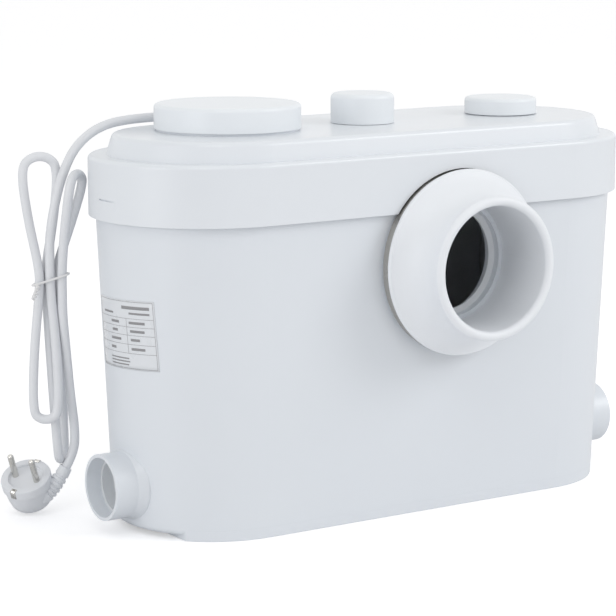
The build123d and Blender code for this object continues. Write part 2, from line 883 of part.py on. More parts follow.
def make_impeller():
    body = upright(impeller_radius, impeller_bottom, impeller_disc)
    body += upright(impeller_hub_radius, impeller_bottom, impeller_hub_height)
    root = (impeller_hub_radius - impeller_vane_thickness, 0)
    middle_share, tip_angle = vane_middle_share, vane_sweep
    middle_radius = impeller_radius * middle_share
    tip = (impeller_radius * cos(radians(tip_angle)), impeller_radius * sin(radians(tip_angle)))
    middle = (
        middle_radius * cos(radians(tip_angle / 3)),
        middle_radius * sin(radians(tip_angle / 3)),
    )
    line = ThreePointArc(root, middle, tip)
    vane = Pos(0, 0, impeller_bottom + impeller_disc) * extrude(
        trace(line, impeller_vane_thickness), amount=impeller_vane_height
    )
    vane &= upright(impeller_radius, impeller_bottom, impeller_hub_height)
    for index in range(impeller_vane_count):
        body += Rot(0, 0, index * 360 / impeller_vane_count) * vane
    body -= upright(shaft_radius + fit_gap, impeller_bottom - cut_overrun, 2 * impeller_hub_height)
    return at_motor(body)


def make_cutter_blade():
    """Two pitched, tapered knives on a hub, sharpened along their leading edges."""
    hub = upright(cutter_hub_radius, cutter_z - cutter_hub_height / 2, cutter_hub_height)
    half_tip = cutter_width / 3
    outline = make_face(Polyline(
        (0, -cutter_width / 2),
        (cutter_reach, -half_tip),
        (cutter_reach, half_tip / 2),
        (0, cutter_width / 2),
        close=True,
    ))
    knife = extrude(outline, amount=cutter_thickness / 2, both=True)
    edge = knife.edges().filter_by(Axis.Z, reverse=True).sort_by(Axis.Y)[0]
    knife = chamfer(edge, cutter_thickness / 3)
    body = hub
    for turn in (0, 180):
        body += Pos(0, 0, cutter_z) * Rot(0, 0, turn) * Rot(cutter_pitch, 0, 0) * knife
    body += upright(cutter_hub_radius - cutter_thickness, cutter_z, cutter_collar_height)
    body -= upright(shaft_radius + fit_gap, cutter_z - cutter_hub_height, 2 * cutter_hub_height)
    return at_motor(body)


def make_strainer_basket():
    """An open basket with slotted sides and floor, round the cutter and under the inlet."""
    body = oval_bar(basket_half_length, basket_half_depth, basket_bottom, basket_height)
    rim = oval_bar(
        basket_half_length + basket_rim,
        basket_half_depth + basket_rim,
        basket_bottom + basket_height - basket_rim_height,
        basket_rim_height,
    )
    body += rim
    body -= oval_bar(
        basket_half_length - basket_wall, basket_half_depth - basket_wall, basket_bottom + basket_wall, basket_height
    )
    slot_height = basket_height - 2 * basket_slot_margin
    slot_level = basket_bottom + basket_slot_margin + slot_height / 2
    straight = basket_half_length - basket_half_depth
    count = int(2 * straight / basket_slot_pitch)
    side_slot = Pos(0, 0, slot_level) * Box(basket_slot_width, 3 * basket_half_depth, slot_height)
    for index in range(count):
        body -= Pos((index - (count - 1) / 2) * basket_slot_pitch, 0, 0) * side_slot
    floor_slot = Pos(straight / 2, 0, basket_bottom) * Box(
        straight, basket_slot_width, 3 * basket_wall
    )
    rows = int((basket_half_depth - basket_slot_margin) / basket_slot_pitch)
    for index in range(-rows, rows + 1):
        body -= Pos(0, index * basket_slot_pitch, 0) * floor_slot
    body = Pos(basket_x, basket_y, 0) * body
    body -= at_motor(upright(volute_eye_radius, basket_bottom - cut_overrun, basket_wall + 2 * cut_overrun))
    return body


# Riser and non-return valve
def make_riser_pipe():
    start = outlet_end - riser_socket
    path = FilletPolyline(
        (start, outlet_y, outlet_z),
        (riser_turn_x, outlet_y, outlet_z),
        (port_x, port_y, outlet_z),
        (port_x, port_y, riser_top - seat_gap),
        radius=[riser_sweep, riser_bend],
    )
    section = Plane(origin=(start, outlet_y, outlet_z), z_dir=(1, 0, 0))
    outer = sweep(section * Circle(riser_radius), path=path)
    inner = sweep(section * Circle(outlet_radius + fit_gap), path=path)
    return outer - inner


def make_check_valve_body():
    socket_bottom = riser_top - valve_socket_depth
    socket_outer = riser_radius + valve_socket_wall
    flare = valve_floor_level - valve_floor
    floor_top_level = valve_floor_level + valve_floor
    body = turned([
        (riser_radius + fit_gap, socket_bottom),
        (socket_outer, socket_bottom),
        (socket_outer, flare),
        (valve_radius, valve_floor_level),
        (valve_radius, deck_under),
        (valve_bore, deck_under),
        (valve_bore, floor_top_level),
        (valve_seat_radius, floor_top_level),
        (valve_seat_radius, valve_floor_level),
        (riser_radius + fit_gap, valve_floor_level),
    ])
    body = Pos(port_x, port_y, 0) * body
    pin_hole = Pos(flap_pin_x, port_y, flap_pin_level) * Rot(90, 0, 0)
    body -= pin_hole * Cylinder(flap_pin_radius + fit_gap, 2 * flap_pin_half_length)
    return body


def make_flap_pin():
    place = Pos(flap_pin_x, port_y, flap_pin_level) * Rot(90, 0, 0)
    return place * Cylinder(flap_pin_radius, 2 * flap_pin_half_length - fit_gap)


def make_valve_flap():
    disc = Pos(port_x, port_y, 0) * upright(flap_radius, flap_level, flap_thickness)
    eye_radius = flap_pin_radius + flap_eye_wall
    place = Pos(flap_pin_x, port_y, flap_pin_level) * Rot(90, 0, 0)
    eye = place * Cylinder(eye_radius, 2 * flap_eye_half_length)
    arm_length = flap_pin_offset - flap_radius / 2
    arm = Pos(flap_pin_x - arm_length / 2, port_y, flap_level + flap_thickness / 2)
    arm *= Box(arm_length, 2 * flap_eye_half_length, flap_thickness)
    bore = place * Cylinder(flap_pin_radius + fit_gap, 3 * flap_eye_half_length)
    return disc + eye + arm - bore


# Pressure switch
def at_dip(shape):
    """Move a piece to the dip tube's upright axis."""
    return Pos(dip_x, dip_y, 0) * shape


def make_dip_tube():
    body = upright(dip_radius, dip_bottom, case_bottom - dip_bottom)
    body += upright(dip_radius + dip_collar, case_bottom - dip_collar, dip_collar)
    body -= upright(dip_radius - dip_wall, dip_bottom - cut_overrun, case_bottom)
    return at_dip(body)


def make_switch_cup():
    body = upright(switch_cup_radius, case_floor, switch_cup_height)
    bore = switch_cup_radius - switch_cup_wall
    body -= upright(bore - switch_cup_wall, cup_floor, switch_cup_height)
    body -= upright(bore, diaphragm_level, switch_cup_height)
    body -= upright(dip_radius - dip_wall, case_floor - cut_overrun, switch_cup_height)
    return at_dip(body)


def make_diaphragm():
    radius = switch_cup_radius - switch_cup_wall - fit_gap
    body = upright(radius, diaphragm_level, diaphragm_thickness)
    body += tube_ring(radius, radius - diaphragm_bead / 2, diaphragm_level, diaphragm_bead)
    return at_dip(body)


def make_push_rod():
    plate = upright(rod_plate_radius, rod_bottom, rod_plate_thickness)
    rod = upright(rod_radius, rod_bottom, rod_plate_thickness + rod_length)
    rod = fillet(rod.edges().group_by(Axis.Z)[-1], rod_radius - fit_gap)
    return at_dip(plate + rod)


def make_switch_frame():
    """A bridge from rim to rim of the cup, which holds the microswitch over the rod."""
    bottom = case_floor + switch_cup_height
    top = switch_level + microswitch_height
    span = 2 * switch_cup_radius
    height = top - bottom + switch_post_thickness
    body = Pos(0, 0, bottom + height / 2) * Box(microswitch_width, span, height)
    opening = span - 2 * switch_post_thickness
    body -= Pos(0, 0, bottom + (top - bottom) / 2 - cut_overrun / 2) * Box(
        2 * microswitch_width, opening, top - bottom + cut_overrun
    )
    return at_dip(body)


def make_microswitch():
    body = Pos(0, 0, switch_level + microswitch_height / 2) * Box(
        microswitch_width, microswitch_length, microswitch_height
    )
    body = chamfer(body.edges().filter_by(Axis.X), lever_thickness)
    button = Pos(0, microswitch_length / 4, switch_level) * Cylinder(lever_pivot_radius, 2 * lever_thickness)
    ear = Pos(0, lever_pivot_y - dip_y, lever_level + (switch_level - lever_level) / 2)
    ear *= Box(microswitch_width, 4 * lever_pivot_radius, switch_level - lever_level)
    gap = Pos(0, lever_pivot_y - dip_y, lever_level) * Box(
        lever_width + 2 * seat_gap, microswitch_length, 2 * (switch_level - lever_level) - 2 * lever_thickness
    )
    pin_hole = Pos(0, lever_pivot_y - dip_y, lever_level + 2 * lever_pivot_radius) * Rot(0, 90, 0)
    body = at_dip(body + (ear - gap) + button)
    return body - at_dip(pin_hole * Cylinder(lever_pivot_radius + fit_gap, 2 * microswitch_width))


def make_switch_lever():
    strip_middle = lever_pivot_y - dip_y + lever_length / 2
    strip = Pos(0, strip_middle, lever_level + lever_thickness / 2) * Box(
        lever_width, lever_length, lever_thickness
    )
    axle = Pos(0, lever_pivot_y - dip_y, lever_level + 2 * lever_pivot_radius) * Rot(0, 90, 0)
    web = Pos(0, lever_pivot_y - dip_y + lever_pivot_radius / 2, lever_level + lever_pivot_radius)
    web *= Box(lever_width, lever_pivot_radius, 2 * lever_pivot_radius)
    return at_dip(strip + web + axle * Cylinder(lever_pivot_radius, microswitch_width - fit_gap))


# Electrics
def make_capacitor():
    body = upright(capacitor_radius, case_floor, capacitor_height)
    body = fillet(body.edges(), capacitor_edge_radius)
    top = case_floor + capacitor_height
    for side in (-1, 1):
        tab = Pos(side * capacitor_radius / 2, 0, top + capacitor_tab_height / 2)
        body += tab * Box(capacitor_tab_thickness, capacitor_tab_width, capacitor_tab_height)
    return Pos(capacitor_x, case_y, 0) * body


def make_capacitor_clip():
    level = case_floor + capacitor_height / 2
    inner = capacitor_radius + fit_gap
    ring = tube_ring(inner + clip_wall, inner, level, clip_height)
    return Pos(capacitor_x, case_y, 0) * ring


def make_terminal_block():
    level = shelf_height + shelf_thickness
    body = Pos(0, 0, level + terminal_height / 2) * Box(terminal_depth, terminal_length, terminal_height)
    pitch = terminal_length / terminal_pole_count
    for index in range(terminal_pole_count):
        place = (index - (terminal_pole_count - 1) / 2) * pitch
        body -= Pos(0, place, 0) * upright(
            terminal_screw_radius, level + terminal_height - terminal_screw_depth, 2 * terminal_screw_depth
        )
        wire_hole = Pos(0, place, level + terminal_height / 3) * Rot(0, 90, 0)
        body -= wire_hole * Cylinder(terminal_screw_radius * wire_hole_share, 2 * terminal_depth)
    return Pos(capacitor_x, case_y, 0) * body


# Cable gland and cord
def make_cable_gland(lid):
    """A saddle on the lid with a grooved, tapered strain relief that points to the left."""
    bar = Pos(gland_x, gland_y, gland_z) * Rot(0, -90, 0)
    block_front = gland_length / 2
    saddle = bar * Cylinder(gland_radius, gland_length)
    foot = Pos(gland_x, gland_y, gland_z) * Box(
        gland_length, 2 * gland_radius, skirt_top - skirt_bottom, align=(Align.CENTER, Align.CENTER, Align.MAX)
    )
    foot &= Pos(gland_x, gland_y, gland_z) * Box(
        gland_length, 2 * gland_radius, 2 * (gland_z - foot_bottom)
    )
    relief = bar * Pos(0, 0, block_front + relief_length / 2) * Cone(
        gland_radius - relief_groove_depth / 2, relief_tip_radius, relief_length
    )
    pitch = relief_length / (relief_groove_count + 1)
    for index in range(1, relief_groove_count + 1):
        level = block_front + index * pitch
        radius = gland_radius - (gland_radius - relief_tip_radius) * index / (relief_groove_count + 1)
        groove = tube_ring(2 * gland_radius, radius - relief_groove_depth, level, relief_groove_width)
        relief -= bar * groove
    return saddle + foot - lid + relief


def run_radii(points):
    """The radius of each corner: 0.45 of the shorter run over the tangent of half the turn."""
    radii = []
    for before, corner, after in zip(points, points[1:], points[2:]):
        into = Vector(*corner) - Vector(*before)
        out = Vector(*after) - Vector(*corner)
        turn = into.get_angle(out)
        radii.append(corner_share * min(into.length, out.length) / tan(radians(turn / 2)))
    return radii


def cord_tube(points, name):
    """A round cord along straight runs joined by tangent arcs."""
    radii = run_radii(points)
    path = FilletPolyline(*points, radius=radii)
    start = Vector(*points[0])
    heading = Vector(*points[1]) - start
    section = Plane(origin=start, z_dir=heading) * Circle(cord_radius)
    tube = sweep(section, path=path)
    bend = ", ".join(f"{radius:.0f}" for radius in radii)
    expected = section.area * path.length
    print(f"{name}: {path.length:.0f} long, radii {bend}, volume share {tube.volume / expected:.4f}")
    return tube, path


def hank_point(along, deep, height):
    """A place in the hank's frame, as a place on the part."""
    place = Pos(hank_x, hank_y, 0) * Rot(0, 0, hank_turn) * Pos(along, deep, height)
    return tuple(place.position)


def strand_places():
    """Where the five strands cross the tie: three in front, two behind, a pitch apart."""
    row = strand_pitch * sin(radians(60))
    half = strand_pitch / 2
    return [(0, 0), (-strand_pitch, 0), (-half, row), (half, row), (last_strand_share * strand_pitch, 0)]


def bight_corners(index):
    """Corners of one bight: half an octagon round its end, from its first side to its second."""
    along, deep, end_height, half_width, turn = bights[index]
    upward = 1 if end_height > tie_height else -1
    centre_height = end_height - upward * half_width
    reach = half_width / cos(radians(octagon_half_turn))
    corners = []
    for step in range(4):
        angle = radians((2 * step + 1) * octagon_half_turn)
        out = reach * cos(angle)
        corners.append((
            along - out * cos(radians(turn)),
            deep - out * sin(radians(turn)),
            centre_height + upward * reach * sin(angle),
        ))
    return corners


def bowed(waist, shoulder, other_shoulder):
    """The middle of a bight's flank, bowed away from the bight's other flank."""
    near, far, other = Vector(*waist), Vector(*shoulder), Vector(*other_shoulder)
    outward = (far - other).normalized() * flank_bow
    return tuple((near + far) / 2 + outward)


def hank_points():
    """The hank's corners, strand by strand, in the hank's frame."""
    strands = strand_places()
    points = [(*strands[0], hank_top)]
    for index in range(len(bights)):
        level = tie_height + waist_half * (1 if index % 2 else -1)
        here, there = (*strands[index], level), (*strands[index + 1], level)
        corners = bight_corners(index)
        points += [here, bowed(here, corners[0], corners[-1])]
        points += corners
        points += [bowed(there, corners[-1], corners[0]), there]
    points.append((*strands[-1], hank_bottom))
    return points


def least_gap(path, wire_length):
    """The least clear gap between parts of the cord that aren't neighbours along it."""
    count = int(wire_length / (cord_radius / 2))
    places = [path @ (step / count) for step in range(count + 1)]
    apart = int(neighbour_share * cord_radius / (wire_length / count))
    gaps = [
        (places[one] - places[other]).length
        for one in range(count + 1)
        for other in range(one + apart, count + 1)
    ]
    return min(gaps) - 2 * cord_radius


def make_cord_tie():
    """A wire tie: a slanting ring round the five strands."""
    widen = 1 / cos(radians(tie_slant))
    _, left, left_back, right_back, right = strand_places()
    corners = [(along * widen, deep) for along, deep in (left, right, right_back, left_back)]
    outline = make_face(Polyline(*corners, close=True))
    loop = offset(outline, amount=cord_radius + tie_gap + tie_radius, kind=Kind.ARC)
    wire = loop.face().outer_wire()
    start = wire @ 0
    ring = sweep(Plane(origin=start, z_dir=wire % 0) * Circle(tie_radius), path=wire)
    place = Pos(hank_x, hank_y, tie_height) * Rot(0, 0, hank_turn)
    return place * Rot(0, -tie_slant, 0) * ring


# Plug
def along(point, heading, across=(0, 0, 1)):
    """A frame in the hank's frame: its origin at a point, Z along a heading, X near another."""
    up = Vector(*heading).normalized()
    side = Vector(*across)
    side = (side - up * side.dot(up)).normalized()
    return Pos(hank_x, hank_y, 0) * Rot(0, 0, hank_turn) * Plane(origin=point, x_dir=side, z_dir=up).location


def plug_frame():
    """The plug's frame: its face at the origin, Z along the pins, X from pin to pin."""
    return along(plug_face, plug_heading, plug_pin_line)


def plug_body_form():
    step = plug_radius - plug_rim_step
    profile = turned([
        (0, 0),
        (plug_radius, 0),
        (plug_radius, -plug_rim),
        (step, -plug_rim),
        (step, -plug_rim - plug_rim_step),
        (plug_back_radius, -plug_depth),
        (0, -plug_depth),
    ])
    rims = profile.edges().filter_by(GeomType.CIRCLE).sort_by(Axis.Z)
    return fillet([rims[-1], rims[0]], plug_edge_radius)


def relief_frame():
    """The frame of the plug's strain relief: Z towards the cord, at its tip."""
    return along(plug_relief_tip, plug_relief_heading)


def make_plug_body():
    body = plug_frame() * plug_body_form()
    base = Vector(*plug_relief_tip) - Vector(*plug_relief_heading).normalized() * plug_relief_length
    neck_run = base - Vector(*plug_neck_root)
    neck = along(plug_neck_root, tuple(neck_run)) * Cylinder(
        plug_neck_radius, neck_run.length, align=(Align.CENTER, Align.CENTER, Align.MIN)
    )
    knuckle = Pos(*hank_point(*base)) * Sphere(plug_neck_radius)
    relief = Pos(0, 0, -plug_relief_length / 2) * Cone(
        plug_relief_root_radius, plug_relief_radius, plug_relief_length
    )
    pitch = plug_relief_length / (2 * plug_groove_count)
    for index in range(1, plug_groove_count + 1):
        level = -index * pitch
        widen = (plug_relief_root_radius - plug_relief_radius) * index / (2 * plug_groove_count)
        relief -= tube_ring(
            2 * plug_relief_root_radius, plug_relief_radius + widen - plug_groove_depth, level, plug_groove_width
        )
    body += neck + knuckle
    body += relief_frame() * relief
    for hole in pin_places():
        body -= hole * upright(pin_radius, -pin_root, pin_root + cut_overrun)
    print(f"lowest point of the plug: {body.bounding_box().min.Z:.2f}")
    return body


def pin_places():
    """The frames of the two pins' roots, on the plug's face."""
    return [plug_frame() * Pos(side * pin_spacing / 2, 0, 0) for side in (-1, 1)]


def make_plug_pins():
    pin = upright(pin_radius, -pin_root, pin_root + pin_length)
    pin = fillet(pin.edges().group_by(Axis.Z)[-1], pin_radius * pin_nose_share)
    return Compound(children=[place * pin for place in pin_places()])


def write(shape, name):
    """Write one piece under its name."""
    export_step(shape, f"parts/{name}.step")


lid = make_lid()
write(make_tank(), "tank")
write(make_inlet_spigot(), "inlet_spigot")
write(make_side_inlet(-1), "side_inlet_left")
write(make_side_inlet(1), "side_inlet_right")
write(lid, "lid")
write(make_lid_gasket(), "lid_gasket")
write(make_motor_cap(), "motor_cap")
write(make_vent_cap(), "vent_cap")
write(make_port_cap(), "port_cap")
write(make_carbon_filter(), "carbon_filter")
write(make_inlet_sleeve(), "inlet_sleeve")
write(make_inlet_lip(), "inlet_lip")
write(make_clamp_band(), "clamp_band")
write(make_clamp_screw(), "clamp_screw")
write(make_side_seal(-1), "side_seal_left")
write(make_side_seal(1), "side_seal_right")
write(make_dry_case(), "dry_case")
write(make_shaft_seal(), "shaft_seal")
write(make_motor_housing(), "motor_housing")
write(make_motor_end_bell(), "motor_end_bell")
write(make_motor_screws(), "motor_screws")
write(make_stator(), "stator")
write(make_stator_coils(), "stator_coils")
write(make_rotor(), "rotor")
write(make_shaft(), "motor_shaft")
write(make_bearing(bearing_level), "lower_bearing")
write(make_bearing(bell_boss_level), "upper_bearing")
write(make_motor_fan(), "motor_fan")
write(make_pump_volute(), "pump_volute")
write(make_impeller(), "impeller")
write(make_cutter_blade(), "cutter_blade")
write(make_strainer_basket(), "strainer_basket")
write(make_riser_pipe(), "riser_pipe")
write(make_check_valve_body(), "check_valve_body")
write(make_flap_pin(), "flap_pin")
write(make_valve_flap(), "valve_flap")
write(make_dip_tube(), "dip_tube")
write(make_switch_cup(), "switch_cup")
write(make_diaphragm(), "diaphragm")
write(make_push_rod(), "push_rod")
write(make_switch_frame(), "switch_frame")
write(make_microswitch(), "microswitch")
write(make_switch_lever(), "switch_lever")
write(make_capacitor(), "capacitor")
write(make_capacitor_clip(), "capacitor_clip")
write(make_terminal_block(), "terminal_block")
write(make_cable_gland(lid), "cable_gland")

relief_tip = (gland_x - gland_length / 2 - relief_length, gland_y, gland_z)
lead_turn = (lead_first - base_half_length, gland_y, gland_z)
lead_corners = [(from_end - base_half_length, y, z) for from_end, y, z in lead_route]
lead, _ = cord_tube([relief_tip, lead_turn, *lead_corners, hank_point(0, 0, hank_top)], "cord_lead")
hank, hank_path = cord_tube([hank_point(*point) for point in hank_points()], "cord_hank")
tail_start = hank_point(last_strand_share * strand_pitch, 0, hank_bottom)
tail_end = hank_point(*plug_relief_tip)
tail_turn = tuple((relief_frame() * Pos(0, 0, tail_straight)).position)
tail_corners = [hank_point(*point) for point in tail_route]
tail, _ = cord_tube([tail_start, *tail_corners, tail_turn, tail_end], "cord_tail")
print(f"least gap of the hank to itself: {least_gap(hank_path, hank_path.length):.2f}")
write(lead, "cord_lead")
write(hank, "cord_hank")
write(tail, "cord_tail")
write(make_cord_tie(), "cord_tie")
write(make_plug_body(), "plug_body")
write(make_plug_pins(), "plug_pins")
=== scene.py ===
"""Looks of a macerator toilet pump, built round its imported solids.

Lengths are in metres unless a name says otherwise. The frame is the solids' own:
X runs along the tank to the right, Y to the back and Z up, and the origin is the
middle of the tank's underside.
"""

from __future__ import annotations

import json
import logging
import math
from dataclasses import dataclass, field
from enum import Enum
from typing import Sequence

import bmesh
import bpy
import numpy as np
from mathutils import Matrix, Vector

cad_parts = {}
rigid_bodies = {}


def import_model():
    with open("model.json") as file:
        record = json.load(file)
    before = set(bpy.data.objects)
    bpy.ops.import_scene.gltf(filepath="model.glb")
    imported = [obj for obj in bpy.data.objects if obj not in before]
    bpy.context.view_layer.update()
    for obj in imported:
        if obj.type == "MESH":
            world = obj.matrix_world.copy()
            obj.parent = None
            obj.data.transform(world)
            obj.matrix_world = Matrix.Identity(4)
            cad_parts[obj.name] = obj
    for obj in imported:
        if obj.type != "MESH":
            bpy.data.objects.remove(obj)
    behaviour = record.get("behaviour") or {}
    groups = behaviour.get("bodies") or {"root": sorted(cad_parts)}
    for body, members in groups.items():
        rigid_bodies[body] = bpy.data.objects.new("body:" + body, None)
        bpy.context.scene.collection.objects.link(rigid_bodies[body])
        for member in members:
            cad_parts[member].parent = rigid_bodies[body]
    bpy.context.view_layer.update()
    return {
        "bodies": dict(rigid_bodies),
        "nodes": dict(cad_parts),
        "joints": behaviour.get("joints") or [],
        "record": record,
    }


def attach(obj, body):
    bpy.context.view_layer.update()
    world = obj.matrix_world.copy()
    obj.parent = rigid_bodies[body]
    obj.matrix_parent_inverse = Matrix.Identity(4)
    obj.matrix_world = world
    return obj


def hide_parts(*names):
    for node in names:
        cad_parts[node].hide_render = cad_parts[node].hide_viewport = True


LOG = logging.getLogger("macerator_pump")
MM = 0.001
COAT_ROUGHNESS = 0.12
LEAST_ROUGHNESS = 0.02
SKIN_DEPTH = 0.002
RELIEF_DEPTH = 0.0004
TINT_NOISE = (11.0, 3.0)
GLOSS_NOISE = (37.0, 5.0)
SOFT_OCTAVES = 2.0
BRUSHED_OCTAVES = 4.0
HARD_OCTAVES = 6.0
BRUSH_STRETCH = (0.06, 0.06, 1.0)
WOUND_WANDER = 0.6
LAMINATED_WANDER = 0.05
MERGE_DISTANCE = 1e-6
EMPTY_EDGE = 1e-7
NO_RADIUS_MM = 0.05
Colour = tuple[float, float, float]
Point = tuple[float, float, float]


class Grain(Enum):
    """The fine relief that a finish has."""

    MOULDED = "moulded"
    SOFT = "soft"
    BRUSHED = "brushed"
    CAST = "cast"
    LAMINATED = "laminated"
    WOUND = "wound"
    FOAM = "foam"


@dataclass(frozen=True)
class Finish:
    """One finish of the pump: colour, gloss and the relief under them.

    Attributes:
        name: The material's name.
        colour: Linear base colour.
        shade: Linear colour that soft patches of the surface lean to.
        roughness: Mean roughness.
        spread: How far the roughness wanders to each side.
        grain: Kind of fine relief.
        scale: Size of one grain's features, per metre.
        relief: Strength of the relief.
        metallic: One for metal.
        coat: Strength of the clear coat.
        glow: Share of light that passes under the skin.
    """

    name: str
    colour: Colour
    shade: Colour
    roughness: float
    spread: float
    grain: Grain
    scale: float
    relief: float
    metallic: float = 0.0
    coat: float = 0.0
    glow: float = 0.0

    def material(self) -> bpy.types.Material:
        """Build the node material.

        Returns:
            The new material.
        """
        made = bpy.data.materials.new(self.name)
        made.use_nodes = True
        tree = made.node_tree
        shader = tree.nodes["Principled BSDF"]
        shader.inputs["Metallic"].default_value = self.metallic
        shader.inputs["Coat Weight"].default_value = self.coat
        shader.inputs["Coat Roughness"].default_value = COAT_ROUGHNESS
        if self.glow > 0.0:
            shader.inputs["Subsurface Weight"].default_value = self.glow
            shader.inputs["Subsurface Radius"].default_value = (1.0, 1.0, 1.0)
            shader.inputs["Subsurface Scale"].default_value = SKIN_DEPTH
        place = tree.nodes.new("ShaderNodeTexCoord").outputs["Object"]
        cloud = self._noise(tree, place, *TINT_NOISE)
        tint = tree.nodes.new("ShaderNodeMix")
        tint.data_type = "RGBA"
        tint.inputs["A"].default_value = (*self.colour, 1.0)
        tint.inputs["B"].default_value = (*self.shade, 1.0)
        tree.links.new(cloud, tint.inputs["Factor"])
        tree.links.new(tint.outputs["Result"], shader.inputs["Base Color"])
        gloss = tree.nodes.new("ShaderNodeMapRange")
        gloss.inputs["To Min"].default_value = max(self.roughness - self.spread, LEAST_ROUGHNESS)
        gloss.inputs["To Max"].default_value = min(self.roughness + self.spread, 1.0)
        tree.links.new(self._noise(tree, place, *GLOSS_NOISE), gloss.inputs["Value"])
        tree.links.new(gloss.outputs["Result"], shader.inputs["Roughness"])
        bump = tree.nodes.new("ShaderNodeBump")
        bump.inputs["Strength"].default_value = self.relief
        bump.inputs["Distance"].default_value = RELIEF_DEPTH
        tree.links.new(self._height(tree, place), bump.inputs["Height"])
        tree.links.new(bump.outputs["Normal"], shader.inputs["Normal"])
        return made

    def _noise(
        self, tree: bpy.types.NodeTree, place: bpy.types.NodeSocket, scale: float, detail: float
    ) -> bpy.types.NodeSocket:
        """Add a noise texture.

        Args:
            tree: Tree that gets the node.
            place: Where the texture is read.
            scale: Features per metre.
            detail: Octaves of finer noise.

        Returns:
            The noise's value.
        """
        node = tree.nodes.new("ShaderNodeTexNoise")
        node.inputs["Scale"].default_value = scale
        node.inputs["Detail"].default_value = detail
        tree.links.new(place, node.inputs["Vector"])
        return node.outputs["Fac"]

    def _height(self, tree: bpy.types.NodeTree, place: bpy.types.NodeSocket) -> bpy.types.NodeSocket:
        """Add the relief's texture.

        Args:
            tree: Tree that gets the nodes.
            place: Where the texture is read.

        Returns:
            The relief's height.
        """
        if self.grain in (Grain.MOULDED, Grain.SOFT, Grain.CAST):
            octaves = SOFT_OCTAVES if self.grain is Grain.SOFT else HARD_OCTAVES
            return self._noise(tree, place, self.scale, octaves)
        if self.grain is Grain.FOAM:
            cells = tree.nodes.new("ShaderNodeTexVoronoi")
            cells.inputs["Scale"].default_value = self.scale
            tree.links.new(place, cells.inputs["Vector"])
            return cells.outputs["Distance"]
        stretch = tree.nodes.new("ShaderNodeMapping")
        tree.links.new(place, stretch.inputs["Vector"])
        if self.grain is Grain.BRUSHED:
            stretch.inputs["Scale"].default_value = BRUSH_STRETCH
            return self._noise(tree, stretch.outputs["Vector"], self.scale, BRUSHED_OCTAVES)
        wave = tree.nodes.new("ShaderNodeTexWave")
        wave.bands_direction = "Z"
        wave.inputs["Scale"].default_value = self.scale
        wander = WOUND_WANDER if self.grain is Grain.WOUND else LAMINATED_WANDER
        wave.inputs["Distortion"].default_value = wander
        tree.links.new(stretch.outputs["Vector"], wave.inputs["Vector"])
        return wave.outputs["Fac"]


TANK_PLASTIC = Finish(
    "tank_plastic",
    (0.765, 0.80, 0.838),
    (0.745, 0.78, 0.825),
    0.36, 0.05, Grain.MOULDED, 900.0, 0.05, coat=0.15,
)
LID_PLASTIC = Finish(
    "lid_plastic",
    (0.785, 0.82, 0.855),
    (0.77, 0.80, 0.84),
    0.33, 0.05, Grain.MOULDED, 900.0, 0.05, coat=0.2,
)
# The caps' plastic is paler than the tank's. This is partly the caps' own white and partly painted light,
# standing in for the brighter light that falls on their sides.
CAP_PLASTIC_AND_PAINTED_LIGHT = Finish(
    "cap_plastic",
    (0.85, 0.885, 0.915),
    (0.835, 0.868, 0.90),
    0.38, 0.05, Grain.MOULDED, 1100.0, 0.06, coat=0.1,
)
INLET_RUBBER = Finish(
    "inlet_rubber",
    (0.84, 0.865, 0.895),
    (0.82, 0.845, 0.88),
    0.46, 0.06, Grain.SOFT, 500.0, 0.08, glow=0.05,
)
GREY_RUBBER = Finish(
    "grey_rubber",
    (0.73, 0.75, 0.77),
    (0.69, 0.71, 0.73),
    0.55, 0.08, Grain.SOFT, 500.0, 0.12,
)
BLACK_RUBBER = Finish(
    "black_rubber",
    (0.018, 0.018, 0.019),
    (0.03, 0.03, 0.031),
    0.6, 0.1, Grain.SOFT, 600.0, 0.15,
)
STAINLESS = Finish(
    "stainless",
    (0.55, 0.53, 0.49),
    (0.47, 0.455, 0.43),
    0.3, 0.1, Grain.BRUSHED, 2600.0, 0.25, metallic=1.0,
)
MOTOR_CASTING = Finish(
    "motor_aluminium",
    (0.56, 0.57, 0.58),
    (0.47, 0.48, 0.49),
    0.42, 0.12, Grain.CAST, 420.0, 0.3, metallic=1.0,
)
STATOR_STEEL = Finish(
    "stator_steel",
    (0.20, 0.20, 0.21),
    (0.12, 0.12, 0.125),
    0.45, 0.1, Grain.LAMINATED, 320.0, 0.5, metallic=1.0,
)
COIL_WIRE = Finish(
    "coil_wire",
    (0.45, 0.17, 0.06),
    (0.30, 0.10, 0.035),
    0.3, 0.1, Grain.WOUND, 260.0, 0.7, coat=0.4,
)
INNER_PLASTIC = Finish(
    "inner_plastic",
    (0.42, 0.43, 0.44),
    (0.37, 0.38, 0.39),
    0.5, 0.08, Grain.MOULDED, 700.0, 0.1,
)
BLACK_PLASTIC = Finish(
    "black_plastic",
    (0.022, 0.022, 0.024),
    (0.035, 0.035, 0.037),
    0.42, 0.08, Grain.MOULDED, 800.0, 0.12,
)
SWITCH_METAL = Finish(
    "switch_metal",
    (0.72, 0.70, 0.66),
    (0.64, 0.62, 0.59),
    0.16, 0.05, Grain.CAST, 900.0, 0.03, metallic=1.0,
)
CAPACITOR_SHELL = Finish(
    "capacitor_shell",
    (0.60, 0.61, 0.62),
    (0.55, 0.56, 0.57),
    0.3, 0.06, Grain.MOULDED, 600.0, 0.05, coat=0.2,
)
FILTER_FOAM = Finish(
    "filter_foam",
    (0.02, 0.02, 0.02),
    (0.045, 0.045, 0.045),
    0.95, 0.04, Grain.FOAM, 900.0, 1.0,
)
CORD_PLASTIC = Finish(
    "cord_grey",
    (0.77, 0.785, 0.81),
    (0.74, 0.755, 0.785),
    0.42, 0.06, Grain.SOFT, 420.0, 0.1, coat=0.1,
)
TIE_PLASTIC = Finish(
    "tie_white",
    (0.80, 0.80, 0.80),
    (0.74, 0.74, 0.75),
    0.34, 0.05, Grain.SOFT, 700.0, 0.05,
)
